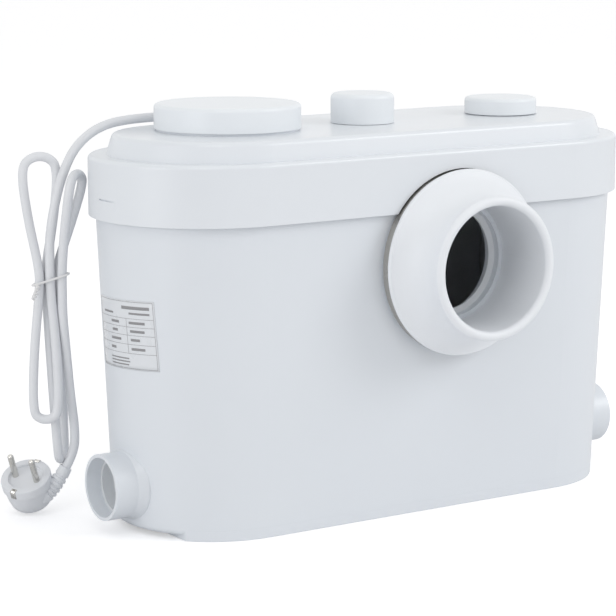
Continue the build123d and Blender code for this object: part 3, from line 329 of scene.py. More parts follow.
PLUG_PLASTIC = Finish(
    "gland_plastic",
    (0.76, 0.78, 0.81),
    (0.73, 0.75, 0.785),
    0.44, 0.06, Grain.MOULDED, 900.0, 0.14,
)
PIN_CHROME = Finish(
    "pin_chrome",
    (0.70, 0.69, 0.66),
    (0.62, 0.61, 0.58),
    0.14, 0.04, Grain.BRUSHED, 1500.0, 0.05, metallic=1.0,
)
PLATE_PAPER = Finish(
    "plate_film",
    (0.76, 0.785, 0.815),
    (0.74, 0.765, 0.80),
    0.28, 0.04, Grain.SOFT, 300.0, 0.02, coat=0.3,
)
PLATE_INK = Finish(
    "plate_ink",
    (0.26, 0.26, 0.27),
    (0.31, 0.31, 0.32),
    0.4, 0.05, Grain.SOFT, 800.0, 0.02,
)

NODE_FINISHES: dict[Finish, tuple[str, ...]] = {
    TANK_PLASTIC: ("tank", "inlet_spigot", "side_inlet_left", "side_inlet_right"),
    LID_PLASTIC: ("lid",),
    CAP_PLASTIC_AND_PAINTED_LIGHT: ("motor_cap", "vent_cap", "port_cap"),
    INLET_RUBBER: ("inlet_sleeve",),
    GREY_RUBBER: ("inlet_lip", "side_seal_left", "side_seal_right"),
    BLACK_RUBBER: ("lid_gasket", "shaft_seal", "diaphragm", "valve_flap"),
    STAINLESS: (
        "clamp_band",
        "clamp_screw",
        "cutter_blade",
        "motor_shaft",
        "lower_bearing",
        "upper_bearing",
        "motor_screws",
        "flap_pin",
        "capacitor_clip",
    ),
    MOTOR_CASTING: ("motor_housing", "motor_end_bell", "rotor"),
    STATOR_STEEL: ("stator",),
    COIL_WIRE: ("stator_coils",),
    INNER_PLASTIC: (
        "dry_case",
        "riser_pipe",
        "check_valve_body",
        "dip_tube",
        "switch_cup",
        "switch_frame",
        "strainer_basket",
    ),
    BLACK_PLASTIC: ("pump_volute", "impeller", "motor_fan", "microswitch", "terminal_block", "push_rod"),
    SWITCH_METAL: ("switch_lever",),
    CAPACITOR_SHELL: ("capacitor",),
    FILTER_FOAM: ("carbon_filter",),
    PLUG_PLASTIC: ("cable_gland",),
}


class Paints:
    """Makes each finish's material once and puts it on pieces."""

    def __init__(self) -> None:
        """Start with no materials made."""
        self._made: dict[str, bpy.types.Material] = {}

    def of(self, finish: Finish) -> bpy.types.Material:
        """Return a finish's material.

        Args:
            finish: The finish wanted.

        Returns:
            Its material, made on first use.
        """
        if finish.name not in self._made:
            self._made[finish.name] = finish.material()
        return self._made[finish.name]

    def dress(self, piece: bpy.types.Object, finish: Finish) -> None:
        """Give a piece one finish all over.

        Args:
            piece: The piece to dress.
            finish: Its finish.
        """
        piece.data.materials.clear()
        piece.data.materials.append(self.of(finish))


def surface_object(
    name: str,
    grids: Sequence[np.ndarray],
    closed_across: bool = True,
    sharp_angle: float = 35.0,
) -> bpy.types.Object:
    """Make one object of one or more grids of points.

    A grid has the shape (rows, columns, 3). Each cell between four points is one face.
    Points that fall together, as at a pole, are merged and the faces turned outwards.

    Args:
        name: Name of the object.
        grids: The grids.
        closed_across: Whether each row's last point joins its first.
        sharp_angle: Edges that bend more than this, in degrees, stay sharp.

    Returns:
        The new object.
    """
    vertices: list[np.ndarray] = []
    faces: list[np.ndarray] = []
    start = 0
    for grid in grids:
        rows, columns = grid.shape[:2]
        numbers = start + np.arange(rows * columns).reshape(rows, columns)
        if closed_across:
            numbers = np.hstack([numbers, numbers[:, :1]])
        corners = np.stack(
            [numbers[:-1, :-1], numbers[:-1, 1:], numbers[1:, 1:], numbers[1:, :-1]], axis=-1
        )
        faces.append(corners.reshape(-1, 4))
        vertices.append(grid.reshape(-1, 3))
        start += rows * columns
    mesh = bpy.data.meshes.new(name)
    mesh.from_pydata(np.concatenate(vertices).tolist(), [], np.concatenate(faces).tolist())
    work = bmesh.new()
    work.from_mesh(mesh)
    bmesh.ops.remove_doubles(work, verts=work.verts, dist=MERGE_DISTANCE)
    bmesh.ops.dissolve_degenerate(work, edges=work.edges, dist=EMPTY_EDGE)
    bmesh.ops.recalc_face_normals(work, faces=work.faces)
    work.to_mesh(mesh)
    work.free()
    mesh.polygons.foreach_set("use_smooth", np.ones(len(mesh.polygons), dtype=bool))
    mesh.set_sharp_from_angle(angle=math.radians(sharp_angle))
    piece = bpy.data.objects.new(name, mesh)
    bpy.context.scene.collection.objects.link(piece)
    return piece


def turned_grid(profile: np.ndarray, columns: int = 96) -> np.ndarray:
    """Turn a profile about Z: each (radius, height) becomes a circle of that radius.

    Args:
        profile: Points of radius and height, with the shape (rows, 2).
        columns: Points round each circle.

    Returns:
        A grid with the shape (rows, columns, 3).
    """
    angle = np.linspace(0.0, 2.0 * math.pi, columns, endpoint=False)
    radius = profile[:, 0, None]
    height = np.broadcast_to(profile[:, 1, None], (len(profile), columns))
    return np.stack([radius * np.cos(angle), radius * np.sin(angle), height], axis=-1)


def placed(grid: np.ndarray, frame: Matrix) -> np.ndarray:
    """Move a grid by a frame: turn each point and add the frame's origin.

    Args:
        grid: Points in the frame's own coordinates.
        frame: The frame.

    Returns:
        The points in the shared frame.
    """
    turn = np.array(frame.to_3x3())
    return grid @ turn.T + np.array(frame.translation)


def tube_grid(path: np.ndarray, radii: np.ndarray, columns: int = 20) -> np.ndarray:
    """Carry a circle along a path, with a frame that turns as little as it can.

    Each row is the path's point plus the radius times the cosine and sine of the angle
    along two directions square to the path. The first direction is carried from row to
    row by dropping what points along the path.

    Args:
        path: Points of the centre line, with the shape (rows, 3).
        radii: One radius for each row.
        columns: Points round each circle.

    Returns:
        A grid with the shape (rows, columns, 3).
    """
    heading = np.gradient(path, axis=0)
    heading /= np.linalg.norm(heading, axis=1, keepdims=True)
    side = np.zeros_like(path)
    first = np.cross(heading[0], (0.0, 0.0, 1.0))
    if np.linalg.norm(first) < 1e-3:
        first = np.cross(heading[0], (0.0, 1.0, 0.0))
    side[0] = first / np.linalg.norm(first)
    for row in range(1, len(path)):
        carried = side[row - 1] - heading[row] * (side[row - 1] @ heading[row])
        side[row] = carried / np.linalg.norm(carried)
    other = np.cross(heading, side)
    angle = np.linspace(0.0, 2.0 * math.pi, columns, endpoint=False)
    ring = np.cos(angle)[None, :, None] * side[:, None] + np.sin(angle)[None, :, None] * other[:, None]
    return path[:, None] + np.asarray(radii)[:, None, None] * ring


def frame_along(point: Sequence[float], heading: Sequence[float], across: Sequence[float]) -> Matrix:
    """Build a frame with Z along a heading and X near another direction.

    Args:
        point: The frame's origin.
        heading: The direction of its Z.
        across: The direction that its X comes near to.

    Returns:
        The frame.
    """
    up = Vector(heading).normalized()
    side = Vector(across)
    side = (side - up * side.dot(up)).normalized()
    turn = Matrix((side, up.cross(side), up)).transposed()
    return Matrix.Translation(Vector(point)) @ turn.to_4x4()


@dataclass
class Camera:
    """The photograph's viewpoint: a level camera on the pump's front left.

    Attributes:
        place: Where it stands.
        yaw: Turn of its view from +Y towards +X.
        pitch: How far it looks down.
        focal_px: Focal length in the photograph's pixels.
        frame_px: Width of the photograph.
        sensor_mm: Width of the sensor.
        near: Nearest distance seen.
        far: Farthest distance seen.
    """

    place: Point = (-1.07490, -1.54380, 0.47933)
    yaw: float = 0.5858
    pitch: float = 0.1744
    focal_px: float = 2425.79
    frame_px: float = 616.0
    sensor_mm: float = 36.0
    near: float = 0.05
    far: float = 60.0

    def make(self) -> bpy.types.Object:
        """Make the camera and set it as the scene's.

        Returns:
            The camera's object.
        """
        data = bpy.data.cameras.new("camera")
        data.sensor_width = self.sensor_mm
        data.lens = self.sensor_mm * self.focal_px / self.frame_px
        data.clip_start = self.near
        data.clip_end = self.far
        ahead = Vector(
            (
                math.sin(self.yaw) * math.cos(self.pitch),
                math.cos(self.yaw) * math.cos(self.pitch),
                -math.sin(self.pitch),
            )
        )
        right = Vector((math.cos(self.yaw), -math.sin(self.yaw), 0.0))
        turn = Matrix((right, right.cross(ahead), -ahead)).transposed()
        camera = bpy.data.objects.new("camera", data)
        camera.matrix_world = Matrix.Translation(self.place) @ turn.to_4x4()
        bpy.context.scene.collection.objects.link(camera)
        bpy.context.scene.camera = camera
        return camera


@dataclass
class Lamp:
    """One soft square lamp that points at the pump.

    Attributes:
        name: Its name.
        place: Where it hangs.
        size: Its side.
        power: Its power in watts.
    """

    name: str
    place: Point
    size: float
    power: float

    def make(self, aim: Point) -> bpy.types.Object:
        """Make the lamp.

        Args:
            aim: The point that it lights.

        Returns:
            The lamp's object.
        """
        data = bpy.data.lights.new(self.name, "AREA")
        data.shape = "SQUARE"
        data.size = self.size
        data.energy = self.power
        lamp = bpy.data.objects.new(self.name, data)
        lamp.location = self.place
        lamp.rotation_euler = (Vector(aim) - Vector(self.place)).to_track_quat("-Z", "Y").to_euler()
        bpy.context.scene.collection.objects.link(lamp)
        return lamp


@dataclass
class Studio:
    """Pale floor, soft lamps and a white surround.

    Attributes:
        floor_half: Half the floor's side.
        floor_level: The floor's height, just under the tank.
        floor_glow: Light that the floor adds where the camera sees it.
        aim: The point that the lamps light.
        ambient: Strength of the surround's light.
        lamps: The lamps.
    """

    floor_half: float = 9.0
    floor_level: float = -0.0002
    floor_glow: float = 0.37
    aim: Point = (0.0, 0.0, 0.16)
    ambient: float = 0.66
    lamps: tuple[Lamp, ...] = (
        Lamp("key", (2.0, -1.9, 1.6), 1.3, 24.0),
        Lamp("fill", (-3.2, -0.5, 0.6), 1.8, 20.0),
        Lamp("high", (-1.3, -1.7, 2.6), 1.2, 8.0),
        Lamp("top", (0.2, 0.6, 2.6), 2.0, 3.0),
    )

    def make(self) -> None:
        """Make the floor, the lamps and the surround."""
        self._floor()
        for lamp in self.lamps:
            lamp.make(self.aim)
        self._surround()
        bpy.context.scene.view_settings.view_transform = "Standard"
        LOG.info("studio: %d lamps", len(self.lamps))

    def _floor(self) -> None:
        """Make the floor, which shows white but for the pump's shadow."""
        half = self.floor_half
        edge = np.linspace(-half, half, 3)
        across, deep = np.meshgrid(edge, edge)
        grid = np.stack([across, deep, np.full_like(across, self.floor_level)], axis=-1)
        floor = surface_object("floor", [grid], closed_across=False)
        if floor.data.polygons[0].normal.z < 0.0:
            floor.data.flip_normals()
        paint = bpy.data.materials.new("floor")
        paint.use_nodes = True
        tree = paint.node_tree
        shader = tree.nodes["Principled BSDF"]
        shader.inputs["Base Color"].default_value = (0.86, 0.86, 0.87, 1.0)
        shader.inputs["Roughness"].default_value = 0.6
        shader.inputs["Specular IOR Level"].default_value = 0.2
        shader.inputs["Emission Color"].default_value = (1.0, 1.0, 1.0, 1.0)
        rays = tree.nodes.new("ShaderNodeLightPath")
        bright = tree.nodes.new("ShaderNodeMath")
        bright.operation = "MULTIPLY"
        bright.inputs[1].default_value = self.floor_glow
        tree.links.new(rays.outputs["Is Camera Ray"], bright.inputs[0])
        tree.links.new(bright.outputs["Value"], shader.inputs["Emission Strength"])
        floor.data.materials.append(paint)

    def _surround(self) -> None:
        """Make the world: plain light, and white where it is seen or mirrored."""
        world = bpy.data.worlds.new("surround")
        bpy.context.scene.world = world
        world.use_nodes = True
        tree = world.node_tree
        tree.nodes.clear()
        light = tree.nodes.new("ShaderNodeBackground")
        light.inputs["Color"].default_value = (1.0, 1.0, 1.0, 1.0)
        light.inputs["Strength"].default_value = self.ambient
        seen = tree.nodes.new("ShaderNodeBackground")
        seen.inputs["Color"].default_value = (1.0, 1.0, 1.0, 1.0)
        seen.inputs["Strength"].default_value = 1.0
        rays = tree.nodes.new("ShaderNodeLightPath")
        either = tree.nodes.new("ShaderNodeMath")
        either.operation = "MAXIMUM"
        both = tree.nodes.new("ShaderNodeMath")
        both.operation = "MAXIMUM"
        mix = tree.nodes.new("ShaderNodeMixShader")
        out = tree.nodes.new("ShaderNodeOutputWorld")
        tree.links.new(rays.outputs["Is Camera Ray"], either.inputs[0])
        tree.links.new(rays.outputs["Is Glossy Ray"], either.inputs[1])
        tree.links.new(either.outputs["Value"], both.inputs[0])
        tree.links.new(rays.outputs["Is Transmission Ray"], both.inputs[1])
        tree.links.new(both.outputs["Value"], mix.inputs["Fac"])
        tree.links.new(light.outputs["Background"], mix.inputs[1])
        tree.links.new(seen.outputs["Background"], mix.inputs[2])
        tree.links.new(mix.outputs["Shader"], out.inputs["Surface"])


@dataclass
class HankFrame:
    """The frame that the hank hangs in: S along its face, D to its back, Z up.

    Attributes:
        x_mm: The frame's place along the tank.
        y_mm: The frame's place to the back.
        turn_deg: How far S is turned from X towards Y.
    """

    x_mm: float = -241.5
    y_mm: float = 63.0
    turn_deg: float = -33.6

    def matrix(self) -> Matrix:
        """Return the frame, in metres."""
        turn = Matrix.Rotation(math.radians(self.turn_deg), 4, "Z")
        return Matrix.Translation((self.x_mm * MM, self.y_mm * MM, 0.0)) @ turn

    def point(self, along: float, deep: float, height: float) -> Vector:
        """Place a point of the hank's frame in the shared frame.

        Args:
            along: S, in millimetres.
            deep: D, in millimetres.
            height: Z, in millimetres.

        Returns:
            The point, in metres.
        """
        return self.matrix() @ Vector((along * MM, deep * MM, height * MM))

    def heading(self, along: float, deep: float, height: float) -> Vector:
        """Turn a direction of the hank's frame into the shared frame.

        Args:
            along: Its S part.
            deep: Its D part.
            height: Its Z part.

        Returns:
            The direction, one long.
        """
        return (self.matrix().to_3x3() @ Vector((along, deep, height))).normalized()


@dataclass
class MainsCord:
    """The mains cord: a lead over the lid's corner, a tied hank and a tail to the plug.

    Each of the hank's four bights is half an octagon round its end, and its flanks bow
    outward by a little between the end and the tie. Route points are in millimetres.

    Attributes:
        frame: The frame that the hank hangs in.
        radius_mm: The cord's radius.
        pitch_mm: Distance between strands at the tie.
        last_share: How far out the last strand hangs, in pitches.
        tie_height_mm: Height of the tie.
        waist_half_mm: Half the stretch over which the strands run side by side.
        hank_top_mm: Where the hank starts.
        hank_bottom_mm: Where the hank ends.
        bow_mm: How far a flank bows outward.
        half_turn_deg: Half the turn from one corner of an octagon to the next.
    """

    frame: HankFrame = field(default_factory=HankFrame)
    radius_mm: float = 3.6
    pitch_mm: float = 8.0
    last_share: float = 1.12
    tie_height_mm: float = 184.0
    waist_half_mm: float = 8.0
    hank_top_mm: float = 198.0
    hank_bottom_mm: float = 172.0
    bow_mm: float = 1.6
    half_turn_deg: float = 22.5
    lead_mm: tuple[Point, ...] = (
        (-139.0, 74.4, 300.2),
        (-163.0, 74.4, 300.2),
        (-192.0, 72.5, 296.5),
        (-217.0, 66.0, 283.0),
        (-231.0, 61.0, 262.5),
        (-238.5, 60.5, 239.0),
        (-241.5, 63.0, 214.0),
    )
    bights_mm: tuple[tuple[float, float, float, float, float], ...] = (
        (-4.4, -5.0, 77.5, 10.0, 180.0),
        (-7.4, 8.0, 276.0, 14.4, 20.0),
        (4.5, 16.0, 42.0, 11.0, 82.0),
        (21.0, 2.0, 263.5, 12.0, 250.0),
    )
    tail_mm: tuple[Point, ...] = (
        (8.96, 0.0, 156.0),
        (10.8, 2.5, 130.0),
        (13.0, 5.5, 96.0),
        (16.0, 9.5, 66.0),
    )
    relief_tip_mm: Point = (8.4, 10.4, 36.7)
    relief_heading: Point = (0.48, 0.12, 0.87)
    tail_straight_mm: float = 13.0

    def strands(self) -> list[tuple[float, float]]:
        """Return where the five strands cross the tie: three in front and two behind."""
        row = self.pitch_mm * math.sin(math.radians(60.0))
        half = self.pitch_mm / 2.0
        return [
            (0.0, 0.0),
            (-self.pitch_mm, 0.0),
            (-half, row),
            (half, row),
            (self.last_share * self.pitch_mm, 0.0),
        ]

    def _bight(self, index: int) -> list[np.ndarray]:
        """Return the four corners round one bight's end, in the hank's frame.

        Args:
            index: Number of the bight.

        Returns:
            Its corners, in the cord's order.
        """
        along, deep, end, half_width, turn = self.bights_mm[index]
        upward = 1.0 if end > self.tie_height_mm else -1.0
        reach = half_width / math.cos(math.radians(self.half_turn_deg))
        corners = []
        for step in range(4):
            angle = math.radians((2 * step + 1) * self.half_turn_deg)
            out = reach * math.cos(angle)
            corners.append(
                np.array(
                    (
                        along - out * math.cos(math.radians(turn)),
                        deep - out * math.sin(math.radians(turn)),
                        end - upward * half_width + upward * reach * math.sin(angle),
                    )
                )
            )
        return corners

    def _bowed(self, waist: np.ndarray, shoulder: np.ndarray, other: np.ndarray) -> np.ndarray:
        """Return the middle of a flank, bowed away from the bight's other flank.

        Args:
            waist: The flank's end at the tie.
            shoulder: The flank's end at the bight.
            other: The other flank's end at the bight.

        Returns:
            The flank's middle point.
        """
        outward = (shoulder - other) / np.linalg.norm(shoulder - other)
        return (waist + shoulder) / 2.0 + outward * self.bow_mm

    def route(self) -> list[Vector]:
        """Return the cord's route points from the gland to the plug, in metres."""
        points = [Vector(point) * MM for point in self.lead_mm]
        strands = self.strands()
        hank: list[np.ndarray] = [np.array((*strands[0], self.hank_top_mm))]
        for index in range(len(self.bights_mm)):
            level = self.tie_height_mm + self.waist_half_mm * (1.0 if index % 2 else -1.0)
            here = np.array((*strands[index], level))
            there = np.array((*strands[index + 1], level))
            corners = self._bight(index)
            hank += [here, self._bowed(here, corners[0], corners[-1]), *corners]
            hank += [self._bowed(there, corners[-1], corners[0]), there]
        hank.append(np.array((*strands[-1], self.hank_bottom_mm)))
        hank += [np.array(point) for point in self.tail_mm]
        heading = np.array(self.relief_heading) / np.linalg.norm(self.relief_heading)
        tip = np.array(self.relief_tip_mm)
        hank += [tip + heading * self.tail_straight_mm, tip]
        return points + [self.frame.point(*point) for point in hank]

    def build(self, paints: Paints) -> bpy.types.Object:
        """Make the cord as one curve.

        Args:
            paints: The materials.

        Returns:
            The cord.
        """
        data = bpy.data.curves.new("mains_cord", "CURVE")
        data.dimensions = "3D"
        route = self.route()
        spline = data.splines.new("NURBS")
        spline.points.add(len(route) - 1)
        spline.points.foreach_set("co", np.array([(*point, 1.0) for point in route]).ravel())
        spline.order_u = 3
        spline.use_endpoint_u = True
        data.resolution_u = 10
        data.bevel_depth = self.radius_mm * MM
        data.bevel_resolution = 5
        data.use_fill_caps = True
        cord = bpy.data.objects.new("mains_cord", data)
        bpy.context.scene.collection.objects.link(cord)
        paints.dress(cord, CORD_PLASTIC)
        LOG.info("mains cord: %d route points", len(route))
        return cord


@dataclass
class CordTie:
    """A plastic-coated wire round the hank, its ends twisted together in front.

    Attributes:
        cord: The cord that it holds.
        wire_mm: The wire's radius.
        gap_mm: Clearance round the strands.
        slant_deg: How far it slopes down to the left.
        twist_mm: Length of the twisted ends.
        turns: Turns in the twist.
        ring_points: Points round the loop, with the first one again at the end.
        twist_points: Points along each twisted end.
        wire_sides: Sides of the wire.
        twist_share: Distance of a twisted wire from their middle, in wire radii.
        lean_mm: How far the twisted ends lean to the left.
        forward_share: How far they come forward, in twist lengths.
        start_mm: How far in front of the loop they start.
    """

    cord: MainsCord
    wire_mm: float = 0.9
    gap_mm: float = 0.8
    slant_deg: float = 18.0
    twist_mm: float = 11.0
    turns: float = 2.5
    ring_points: int = 145
    twist_points: int = 60
    wire_sides: int = 12
    twist_share: float = 1.04
    lean_mm: float = 4.0
    forward_share: float = 0.55
    start_mm: float = 0.4

    def build(self, paints: Paints) -> bpy.types.Object:
        """Make the loop and the twisted ends.

        The loop goes round the strands' hull at one distance: each point is the farthest
        one of the strand centres in its direction, moved out by that distance.

        Args:
            paints: The materials.

        Returns:
            The tie.
        """
        slope = math.tan(math.radians(self.slant_deg))
        out = self.cord.radius_mm + self.gap_mm + self.wire_mm
        centres = np.array(self.cord.strands())
        angle = np.linspace(0.0, 2.0 * math.pi, self.ring_points)
        direction = np.stack([np.cos(angle), np.sin(angle)], axis=-1)
        farthest = centres[np.argmax(direction @ centres.T, axis=1)]
        flat = farthest + out * direction
        flat = self._smoothed(flat[:-1])
        loop = np.column_stack([flat, self.cord.tie_height_mm + slope * flat[:, 0]])
        closed = np.vstack([loop, loop[:1]])
        grids = [tube_grid(closed, np.full(len(closed), self.wire_mm), self.wire_sides)]
        front = loop[np.argmin(flat[:, 1])]
        run = np.linspace(0.0, 1.0, self.twist_points)
        for side in (0.0, math.pi):
            wind = side + run * self.turns * 2.0 * math.pi
            apart = self.wire_mm * self.twist_share
            twist = np.stack(
                [
                    front[0] + apart * np.cos(wind) - self.lean_mm * run,
                    front[1] - run * self.twist_mm * self.forward_share - self.start_mm,
                    front[2] - run * self.twist_mm + apart * np.sin(wind),
                ],
                axis=-1,
            )
            radii = np.full(len(run), self.wire_mm)
            radii[0] = radii[-1] = NO_RADIUS_MM
            grids.append(tube_grid(twist, radii, self.wire_sides))
        frame = self.cord.frame.matrix()
        grids = [placed(grid * MM, frame) for grid in grids]
        tie = surface_object("wire_tie", grids, sharp_angle=60.0)
        paints.dress(tie, TIE_PLASTIC)
        return tie

    @staticmethod
    def _smoothed(ring: np.ndarray) -> np.ndarray:
        """Space a closed ring's points evenly along it.

        Args:
            ring: Its points, with the shape (count, 2).

        Returns:
            As many points, one step apart.
        """
        closed = np.vstack([ring, ring[:1]])
        steps = np.linalg.norm(np.diff(closed, axis=0), axis=1)
        keep = np.concatenate([[True], steps > 1e-9])
        closed = closed[keep]
        reach = np.concatenate([[0.0], np.cumsum(np.linalg.norm(np.diff(closed, axis=0), axis=1))])
        wanted = np.linspace(0.0, reach[-1], len(ring), endpoint=False)
        return np.column_stack([np.interp(wanted, reach, closed[:, axis]) for axis in (0, 1)])


@dataclass
class MainsPlug:
    """An angled earthed plug: a round face with two pins, a waist and a ribbed relief.

    Attributes:
        cord: The cord that it ends.
        face_mm: The middle of its face, in the hank's frame.
        heading: The pins' direction, in the hank's frame.
        pin_line: From pin to pin, in the hank's frame.
        radius_mm: The face's radius.
        depth_mm: From the face to the back.
        back_mm: The back's radius.
        pin_radius_mm: A pin's radius.
        pin_length_mm: How far a pin stands out.
        pin_spacing_mm: Distance from pin to pin.
        pin_root_mm: How far a pin reaches into the face.
        pin_shank_mm: Where a pin's straight part is given its second point.
        pin_nose_share: Length of a pin's round nose, in radii.
        pin_sides: Sides of a pin.
        relief_length_mm: Length of the relief.
        relief_tip_mm: The relief's radius at the cord.
        relief_root_mm: Its radius at its root.
        relief_sides: Sides of the relief.
        neck_root_mm: Where the neck starts, in the hank's frame.
        neck_mm: The neck's radius.
        neck_share: Where the neck ends, as a share of the way.
        rib_start: Where the ribs start, as a share of the way.
        rib_run: How long the ribbed stretch is, as a share.
        rib_count: Number of grooves.
        groove_share: Width of a groove, in rib steps.
        groove_mm: Depth of a groove.
        clip_half_mm: Half an earth strip's width.
        clip_thickness: An earth strip's thickness, in metres.
    """

    cord: MainsCord
    face_mm: Point = (-22.2, 5.4, 30.9)
    heading: Point = (-0.13, -0.472, 0.872)
    pin_line: Point = (0.893, -0.438, -0.104)
    radius_mm: float = 19.5
    depth_mm: float = 26.0
    back_mm: float = 16.0
    pin_radius_mm: float = 2.4
    pin_length_mm: float = 19.0
    pin_spacing_mm: float = 19.0
    relief_length_mm: float = 26.5
    relief_tip_mm: float = 4.9
    relief_root_mm: float = 7.5
    neck_root_mm: Point = (-15.2, 7.6, 14.9)
    neck_mm: float = 8.6
    neck_share: float = 0.35
    pin_root_mm: float = 3.0
    pin_shank_mm: float = 1.0
    pin_nose_share: float = 0.8
    pin_sides: int = 40
    relief_sides: int = 48
    rib_start: float = 0.42
    rib_run: float = 0.5
    rib_count: float = 5.0
    groove_share: float = 0.42
    groove_mm: float = 0.95
    clip_half_mm: float = 2.2
    clip_thickness: float = 0.0005

    def frame(self) -> Matrix:
        """Return the face's frame: Z along the pins and X from pin to pin."""
        hank = self.cord.frame
        middle = hank.point(*self.face_mm)
        return frame_along(middle, hank.heading(*self.heading), hank.heading(*self.pin_line))

    def shell(self, paints: Paints) -> bpy.types.Object:
        """Make the body: a turned face, rim and back, a bent neck and the ribbed relief.

        Args:
            paints: The materials.

        Returns:
            The plug's body.
        """
        edge = 1.2
        profile = np.array(
            [
                (0.0, -2.4),
                (12.6, -2.4),
                (13.2, -2.0),
                (13.4, -0.5),
                (13.9, 0.0),
                (self.radius_mm - edge, 0.0),
                (self.radius_mm - edge * 0.3, -edge * 0.3),
                (self.radius_mm, -edge),
                (self.radius_mm, -7.4),
                (self.radius_mm - 0.4, -7.9),
                (self.radius_mm - 1.1, -8.3),
                (self.radius_mm - 1.2, -9.4),
                (self.back_mm + 1.4, -17.0),
                (self.back_mm, -self.depth_mm + 3.0),
                (self.back_mm - 1.0, -self.depth_mm + 1.0),
                (self.back_mm - 3.2, -self.depth_mm + 0.05),
                (0.0, -self.depth_mm + 0.05),
            ]
        )
        grids = [placed(turned_grid(profile, 96) * MM, self.frame())]
        grids.append(self._relief())
        body = surface_object("plug_shell", grids, sharp_angle=32.0)
        paints.dress(body, PLUG_PLASTIC)
        return body

    def _relief(self) -> np.ndarray:
        """Return the neck and the relief: a bent, tapering tube with square-cut ribs."""
        hank = self.cord.frame
        tip = np.array(self.cord.relief_tip_mm)
        heading = np.array(self.cord.relief_heading) / np.linalg.norm(self.cord.relief_heading)
        base = tip - heading * self.relief_length_mm
        root = np.array(self.neck_root_mm)
        along = np.linspace(0.0, 1.0, 90)[:, None]
        bend = (1 - along) ** 2 * root + 2 * along * (1 - along) * base + along**2 * tip
        share = along[:, 0]
        widths = (self.neck_mm, self.relief_root_mm, self.relief_tip_mm)
        taper = np.interp(share, (0.0, self.neck_share, 1.0), widths)
        phase = (share - self.rib_start) / self.rib_run * self.rib_count
        cut = (phase > 0.0) & (phase < self.rib_count) & (phase % 1.0 < self.groove_share)
        radii = taper - self.groove_mm * cut
        radii[0] = NO_RADIUS_MM
        path = np.vstack([bend, bend[-1] - heading * 0.02])
        radii = np.append(radii, self.cord.radius_mm * 0.9)
        grid = tube_grid(path * MM, radii * MM, self.relief_sides)
        return placed(grid, hank.matrix())

    def pins(self, paints: Paints) -> bpy.types.Object:
        """Make the two round-nosed pins.

        Args:
            paints: The materials.

        Returns:
            The pins.
        """
        radius, length = self.pin_radius_mm, self.pin_length_mm
        nose = np.linspace(0.0, math.pi / 2.0, 9)
        nose_drop = radius * self.pin_nose_share
        profile = np.vstack(
            [
                [(0.0, -self.pin_root_mm), (radius, -self.pin_root_mm), (radius, self.pin_shank_mm)],
                np.column_stack([radius * np.cos(nose), length - nose_drop * (1 - np.sin(nose))]),
            ]
        )
        turned = turned_grid(profile, self.pin_sides)
        shift = np.array((self.pin_spacing_mm / 2.0, 0.0, 0.0))
        frame = self.frame()
        grids = [placed((turned + side * shift) * MM, frame) for side in (-1.0, 1.0)]
        pins = surface_object("plug_pin_pair", grids, sharp_angle=40.0)
        paints.dress(pins, PIN_CHROME)
        return pins

    def clips(self, paints: Paints) -> bpy.types.Object:
        """Make the two earth strips, which lie in the rim square to the pins' line.

        Args:
            paints: The materials.

        Returns:
            The strips.
        """
        frame = self.frame()
        out = self.radius_mm - 0.2
        across = np.linspace(-self.clip_half_mm, self.clip_half_mm, 5)
        line = np.array([(out - 3.2, 0.15), (out - 0.4, 0.15), (out + 0.15, -0.4), (out + 0.15, -6.4)])
        grids = []
        for side in (-1.0, 1.0):
            sheet = np.stack(
                [
                    np.broadcast_to(across, (len(line), len(across))),
                    np.broadcast_to(side * line[:, :1], (len(line), len(across))),
                    np.broadcast_to(line[:, 1:], (len(line), len(across))),
                ],
                axis=-1,
            )
            grids.append(placed(sheet * MM, frame))
        clips = surface_object("plug_earth_clips", grids, closed_across=False, sharp_angle=40.0)
        thick = clips.modifiers.new("thickness", "SOLIDIFY")
        thick.thickness = self.clip_thickness
        thick.offset = 0.0
        paints.dress(clips, PIN_CHROME)
        return clips


@dataclass(frozen=True)
class Bar:
    """A grey bar on the plate, in shares of its width and height.

    Attributes:
        first: Where it starts.
        last: Where it ends.
        level: Its middle height.
        tall: Half its height.
    """

    first: float
    last: float
    level: float
    tall: float = 0.014


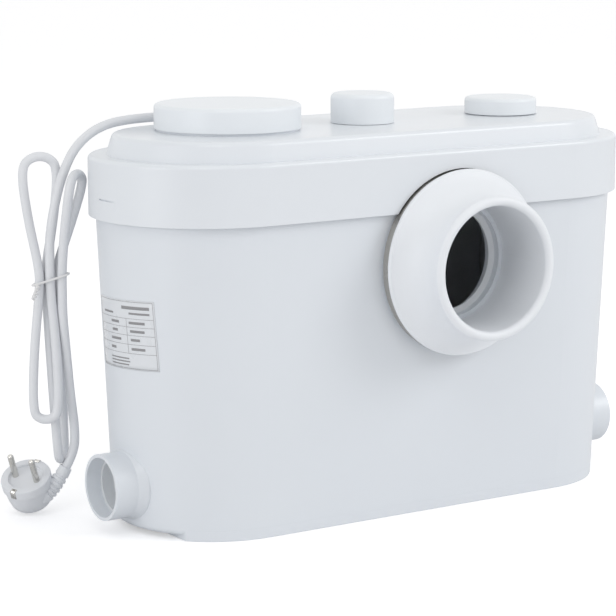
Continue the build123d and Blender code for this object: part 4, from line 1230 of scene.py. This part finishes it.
@dataclass
class RatingPlate:
    """A film plate on the tank's left end: a generic table of thin rules and grey bars.

    Attributes:
        half_angle_deg: Half its width, as an angle round the tank's end.
        middle_deg: Its middle, as an angle from the end towards the front.
        low_mm: Its lower edge.
        high_mm: Its upper edge.
        tilt_deg: How far it is stuck on askew, its front edge up.
        border_share: How far inside its edge the border rule lies.
        rule_mm: Half a rule's width.
        base_half_length_mm: Half the tank's length at its foot.
        base_half_depth_mm: Half its depth there, and its ends' radius.
        end_draft_deg: The ends' draft.
        side_draft_deg: The sides' draft.
        rule_shares: Heights of the rules between the border's.
        column_share: Where the upright rule stands.
        bars: The grey bars.
        plate_proud_mm: How far the plate lies outside the tank.
        print_proud_mm: How far the print lies outside the tank.
        plate_thickness: The plate's thickness, in metres.
        print_thickness: The print's thickness, in metres.
    """

    half_angle_deg: float = 25.0
    middle_deg: float = 5.4
    low_mm: float = 125.2
    high_mm: float = 177.2
    tilt_deg: float = 2.8
    base_half_length_mm: float = 213.5
    base_half_depth_mm: float = 77.5
    end_draft_deg: float = 2.7
    side_draft_deg: float = 1.5
    border_share: float = 0.02
    rule_mm: float = 0.12
    rule_shares: tuple[float, ...] = (0.237, 0.367, 0.498, 0.617, 0.737)
    column_share: float = 0.605
    plate_proud_mm: float = 0.05
    print_proud_mm: float = 0.3
    plate_thickness: float = 0.0002
    print_thickness: float = 0.00006
    bars: tuple[Bar, ...] = (
        Bar(0.545, 0.935, 0.893, 0.022),
        Bar(0.655, 0.935, 0.812),
        Bar(0.15, 0.375, 0.80),
        Bar(0.645, 0.865, 0.678, 0.018),
        Bar(0.655, 0.855, 0.557, 0.018),
        Bar(0.655, 0.785, 0.433, 0.018),
        Bar(0.655, 0.845, 0.302, 0.018),
        Bar(0.325, 0.48, 0.678, 0.018),
        Bar(0.335, 0.445, 0.557, 0.018),
        Bar(0.30, 0.495, 0.433, 0.018),
        Bar(0.285, 0.385, 0.302, 0.018),
        Bar(0.27, 0.605, 0.160, 0.009),
        Bar(0.27, 0.615, 0.115, 0.009),
        Bar(0.27, 0.595, 0.070, 0.009),
    )

    def point(self, across: np.ndarray, height: np.ndarray, proud_mm: float) -> np.ndarray:
        """Place shares of the plate on the tank's round end.

        The plate's own arc and level are turned by its tilt about its middle. The end at
        a level is half a circle whose radius and middle follow the drafts, and the point
        lies at its arc's angle on that circle, a little outside it.

        Args:
            across: Shares of the width, from the back edge to the front edge.
            height: Shares of the height.
            proud_mm: How far outside the tank.

        Returns:
            Points in metres.
        """
        tilt = math.radians(self.tilt_deg)
        middle_mm = (self.high_mm + self.low_mm) / 2.0
        arc = (2.0 * across - 1.0) * math.radians(self.half_angle_deg) * self.base_half_depth_mm
        up = (height - 0.5) * (self.high_mm - self.low_mm)
        level = middle_mm + up * math.cos(tilt) + arc * math.sin(tilt)
        angle = (arc * math.cos(tilt) - up * math.sin(tilt)) / self.base_half_depth_mm
        angle = angle + math.radians(self.middle_deg)
        radius = self.base_half_depth_mm + level * math.tan(math.radians(self.side_draft_deg))
        length = self.base_half_length_mm + level * math.tan(math.radians(self.end_draft_deg))
        out = radius + proud_mm
        return np.stack([radius - length - out * np.cos(angle), -out * np.sin(angle), level], axis=-1) * MM

    def patch(self, first: float, last: float, low: float, high: float) -> np.ndarray:
        """Return a printed rectangle's grid.

        Args:
            first: Share of the width where it starts.
            last: Share of the width where it ends.
            low: Share of the height of its lower edge.
            high: Share of the height of its upper edge.

        Returns:
            Its grid, in metres.
        """
        across, height = np.meshgrid(np.linspace(first, last, 25), np.linspace(low, high, 5))
        return self.point(across, height, self.print_proud_mm)

    def print_grids(self) -> list[np.ndarray]:
        """Return the grids of the border, the rules and the bars."""
        wide_mm = math.radians(self.half_angle_deg) * self.base_half_depth_mm * 2.0
        thin = self.rule_mm / (self.high_mm - self.low_mm)
        narrow = self.rule_mm / wide_mm
        low, high = self.border_share, 1.0 - self.border_share
        lines = [(low, high, level - thin, level + thin) for level in (low, *self.rule_shares, high)]
        lines += [(edge - narrow, edge + narrow, low, high) for edge in (low, high)]
        column = (self.column_share - narrow, self.column_share + narrow)
        lines.append((*column, self.rule_shares[0], self.rule_shares[-1]))
        lines += [(bar.first, bar.last, bar.level - bar.tall, bar.level + bar.tall) for bar in self.bars]
        return [self.patch(*line) for line in lines]

    def build(self, paints: Paints) -> tuple[bpy.types.Object, bpy.types.Object]:
        """Make the plate and its print.

        Args:
            paints: The materials.

        Returns:
            The plate and the print.
        """
        across, height = np.meshgrid(np.linspace(0.0, 1.0, 41), np.linspace(0.0, 1.0, 13))
        sheet = self.point(across, height, self.plate_proud_mm)
        plate = surface_object("rating_plate", [sheet], closed_across=False)
        self._thicken(plate, self.plate_thickness)
        paints.dress(plate, PLATE_PAPER)
        rules = surface_object("rating_plate_rules", self.print_grids(), closed_across=False)
        self._thicken(rules, self.print_thickness)
        paints.dress(rules, PLATE_INK)
        return plate, rules

    @staticmethod
    def _thicken(piece: bpy.types.Object, thickness: float) -> None:
        """Give a thin sheet its thickness, outwards.

        Args:
            piece: The sheet.
            thickness: Its thickness.
        """
        mesh = piece.data
        normal = mesh.polygons[0].normal
        centre = mesh.polygons[0].center
        end_middle = 0.14
        if normal.dot(Vector((centre.x + end_middle, centre.y, 0.0))) < 0.0:
            mesh.flip_normals()
        sheet = piece.modifiers.new("thickness", "SOLIDIFY")
        sheet.thickness = thickness
        sheet.offset = 1.0


def dress_nodes(nodes: dict[str, bpy.types.Object], paints: Paints) -> None:
    """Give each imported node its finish.

    Args:
        nodes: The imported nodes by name.
        paints: The materials.
    """
    for finish, names in NODE_FINISHES.items():
        for name in names:
            paints.dress(nodes[name], finish)
            LOG.info("node %s: %s", name, finish.name)


def corners(box: Sequence[Vector]) -> list[list[float]]:
    """Return a box's two corners as plain lists.

    Args:
        box: The lowest and the highest corner.

    Returns:
        Both corners, to the micrometre.
    """
    return [[round(float(value), 6) for value in corner] for corner in box]


def keep(piece: bpy.types.Object, slot: str, body: str = "housing") -> bpy.types.Object:
    """Fix a piece to a body.

    Args:
        piece: The piece.
        slot: Not used.
        body: The body that it rides on.

    Returns:
        The piece.
    """
    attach(piece, body)
    LOG.info("piece %s on %s", piece.name, body)
    return piece


def main() -> None:
    """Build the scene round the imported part."""
    logging.basicConfig(level=logging.INFO, format="%(name)s: %(message)s")
    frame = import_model()
    paints = Paints()
    Camera().make()

    cord_design = MainsCord()
    cord = keep(cord_design.build(paints), "cord_grey")
    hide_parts("cord_lead", "cord_hank", "cord_tail")
    tie = keep(CordTie(cord_design).build(paints), "tie_white")
    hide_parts("cord_tie")
    plug = MainsPlug(cord_design)
    shell = keep(plug.shell(paints), "gland_plastic")
    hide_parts("plug_body")
    pins = keep(plug.pins(paints), "pin_chrome")
    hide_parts("plug_pins")
    clips = keep(plug.clips(paints), "pin_chrome")

    plate, rules = RatingPlate().build(paints)
    keep(plate, "lid_plastic")
    keep(rules, "black_plastic")
    dress_nodes(frame["nodes"], paints)
    Studio().make()


if __name__ == "__main__":
    main()
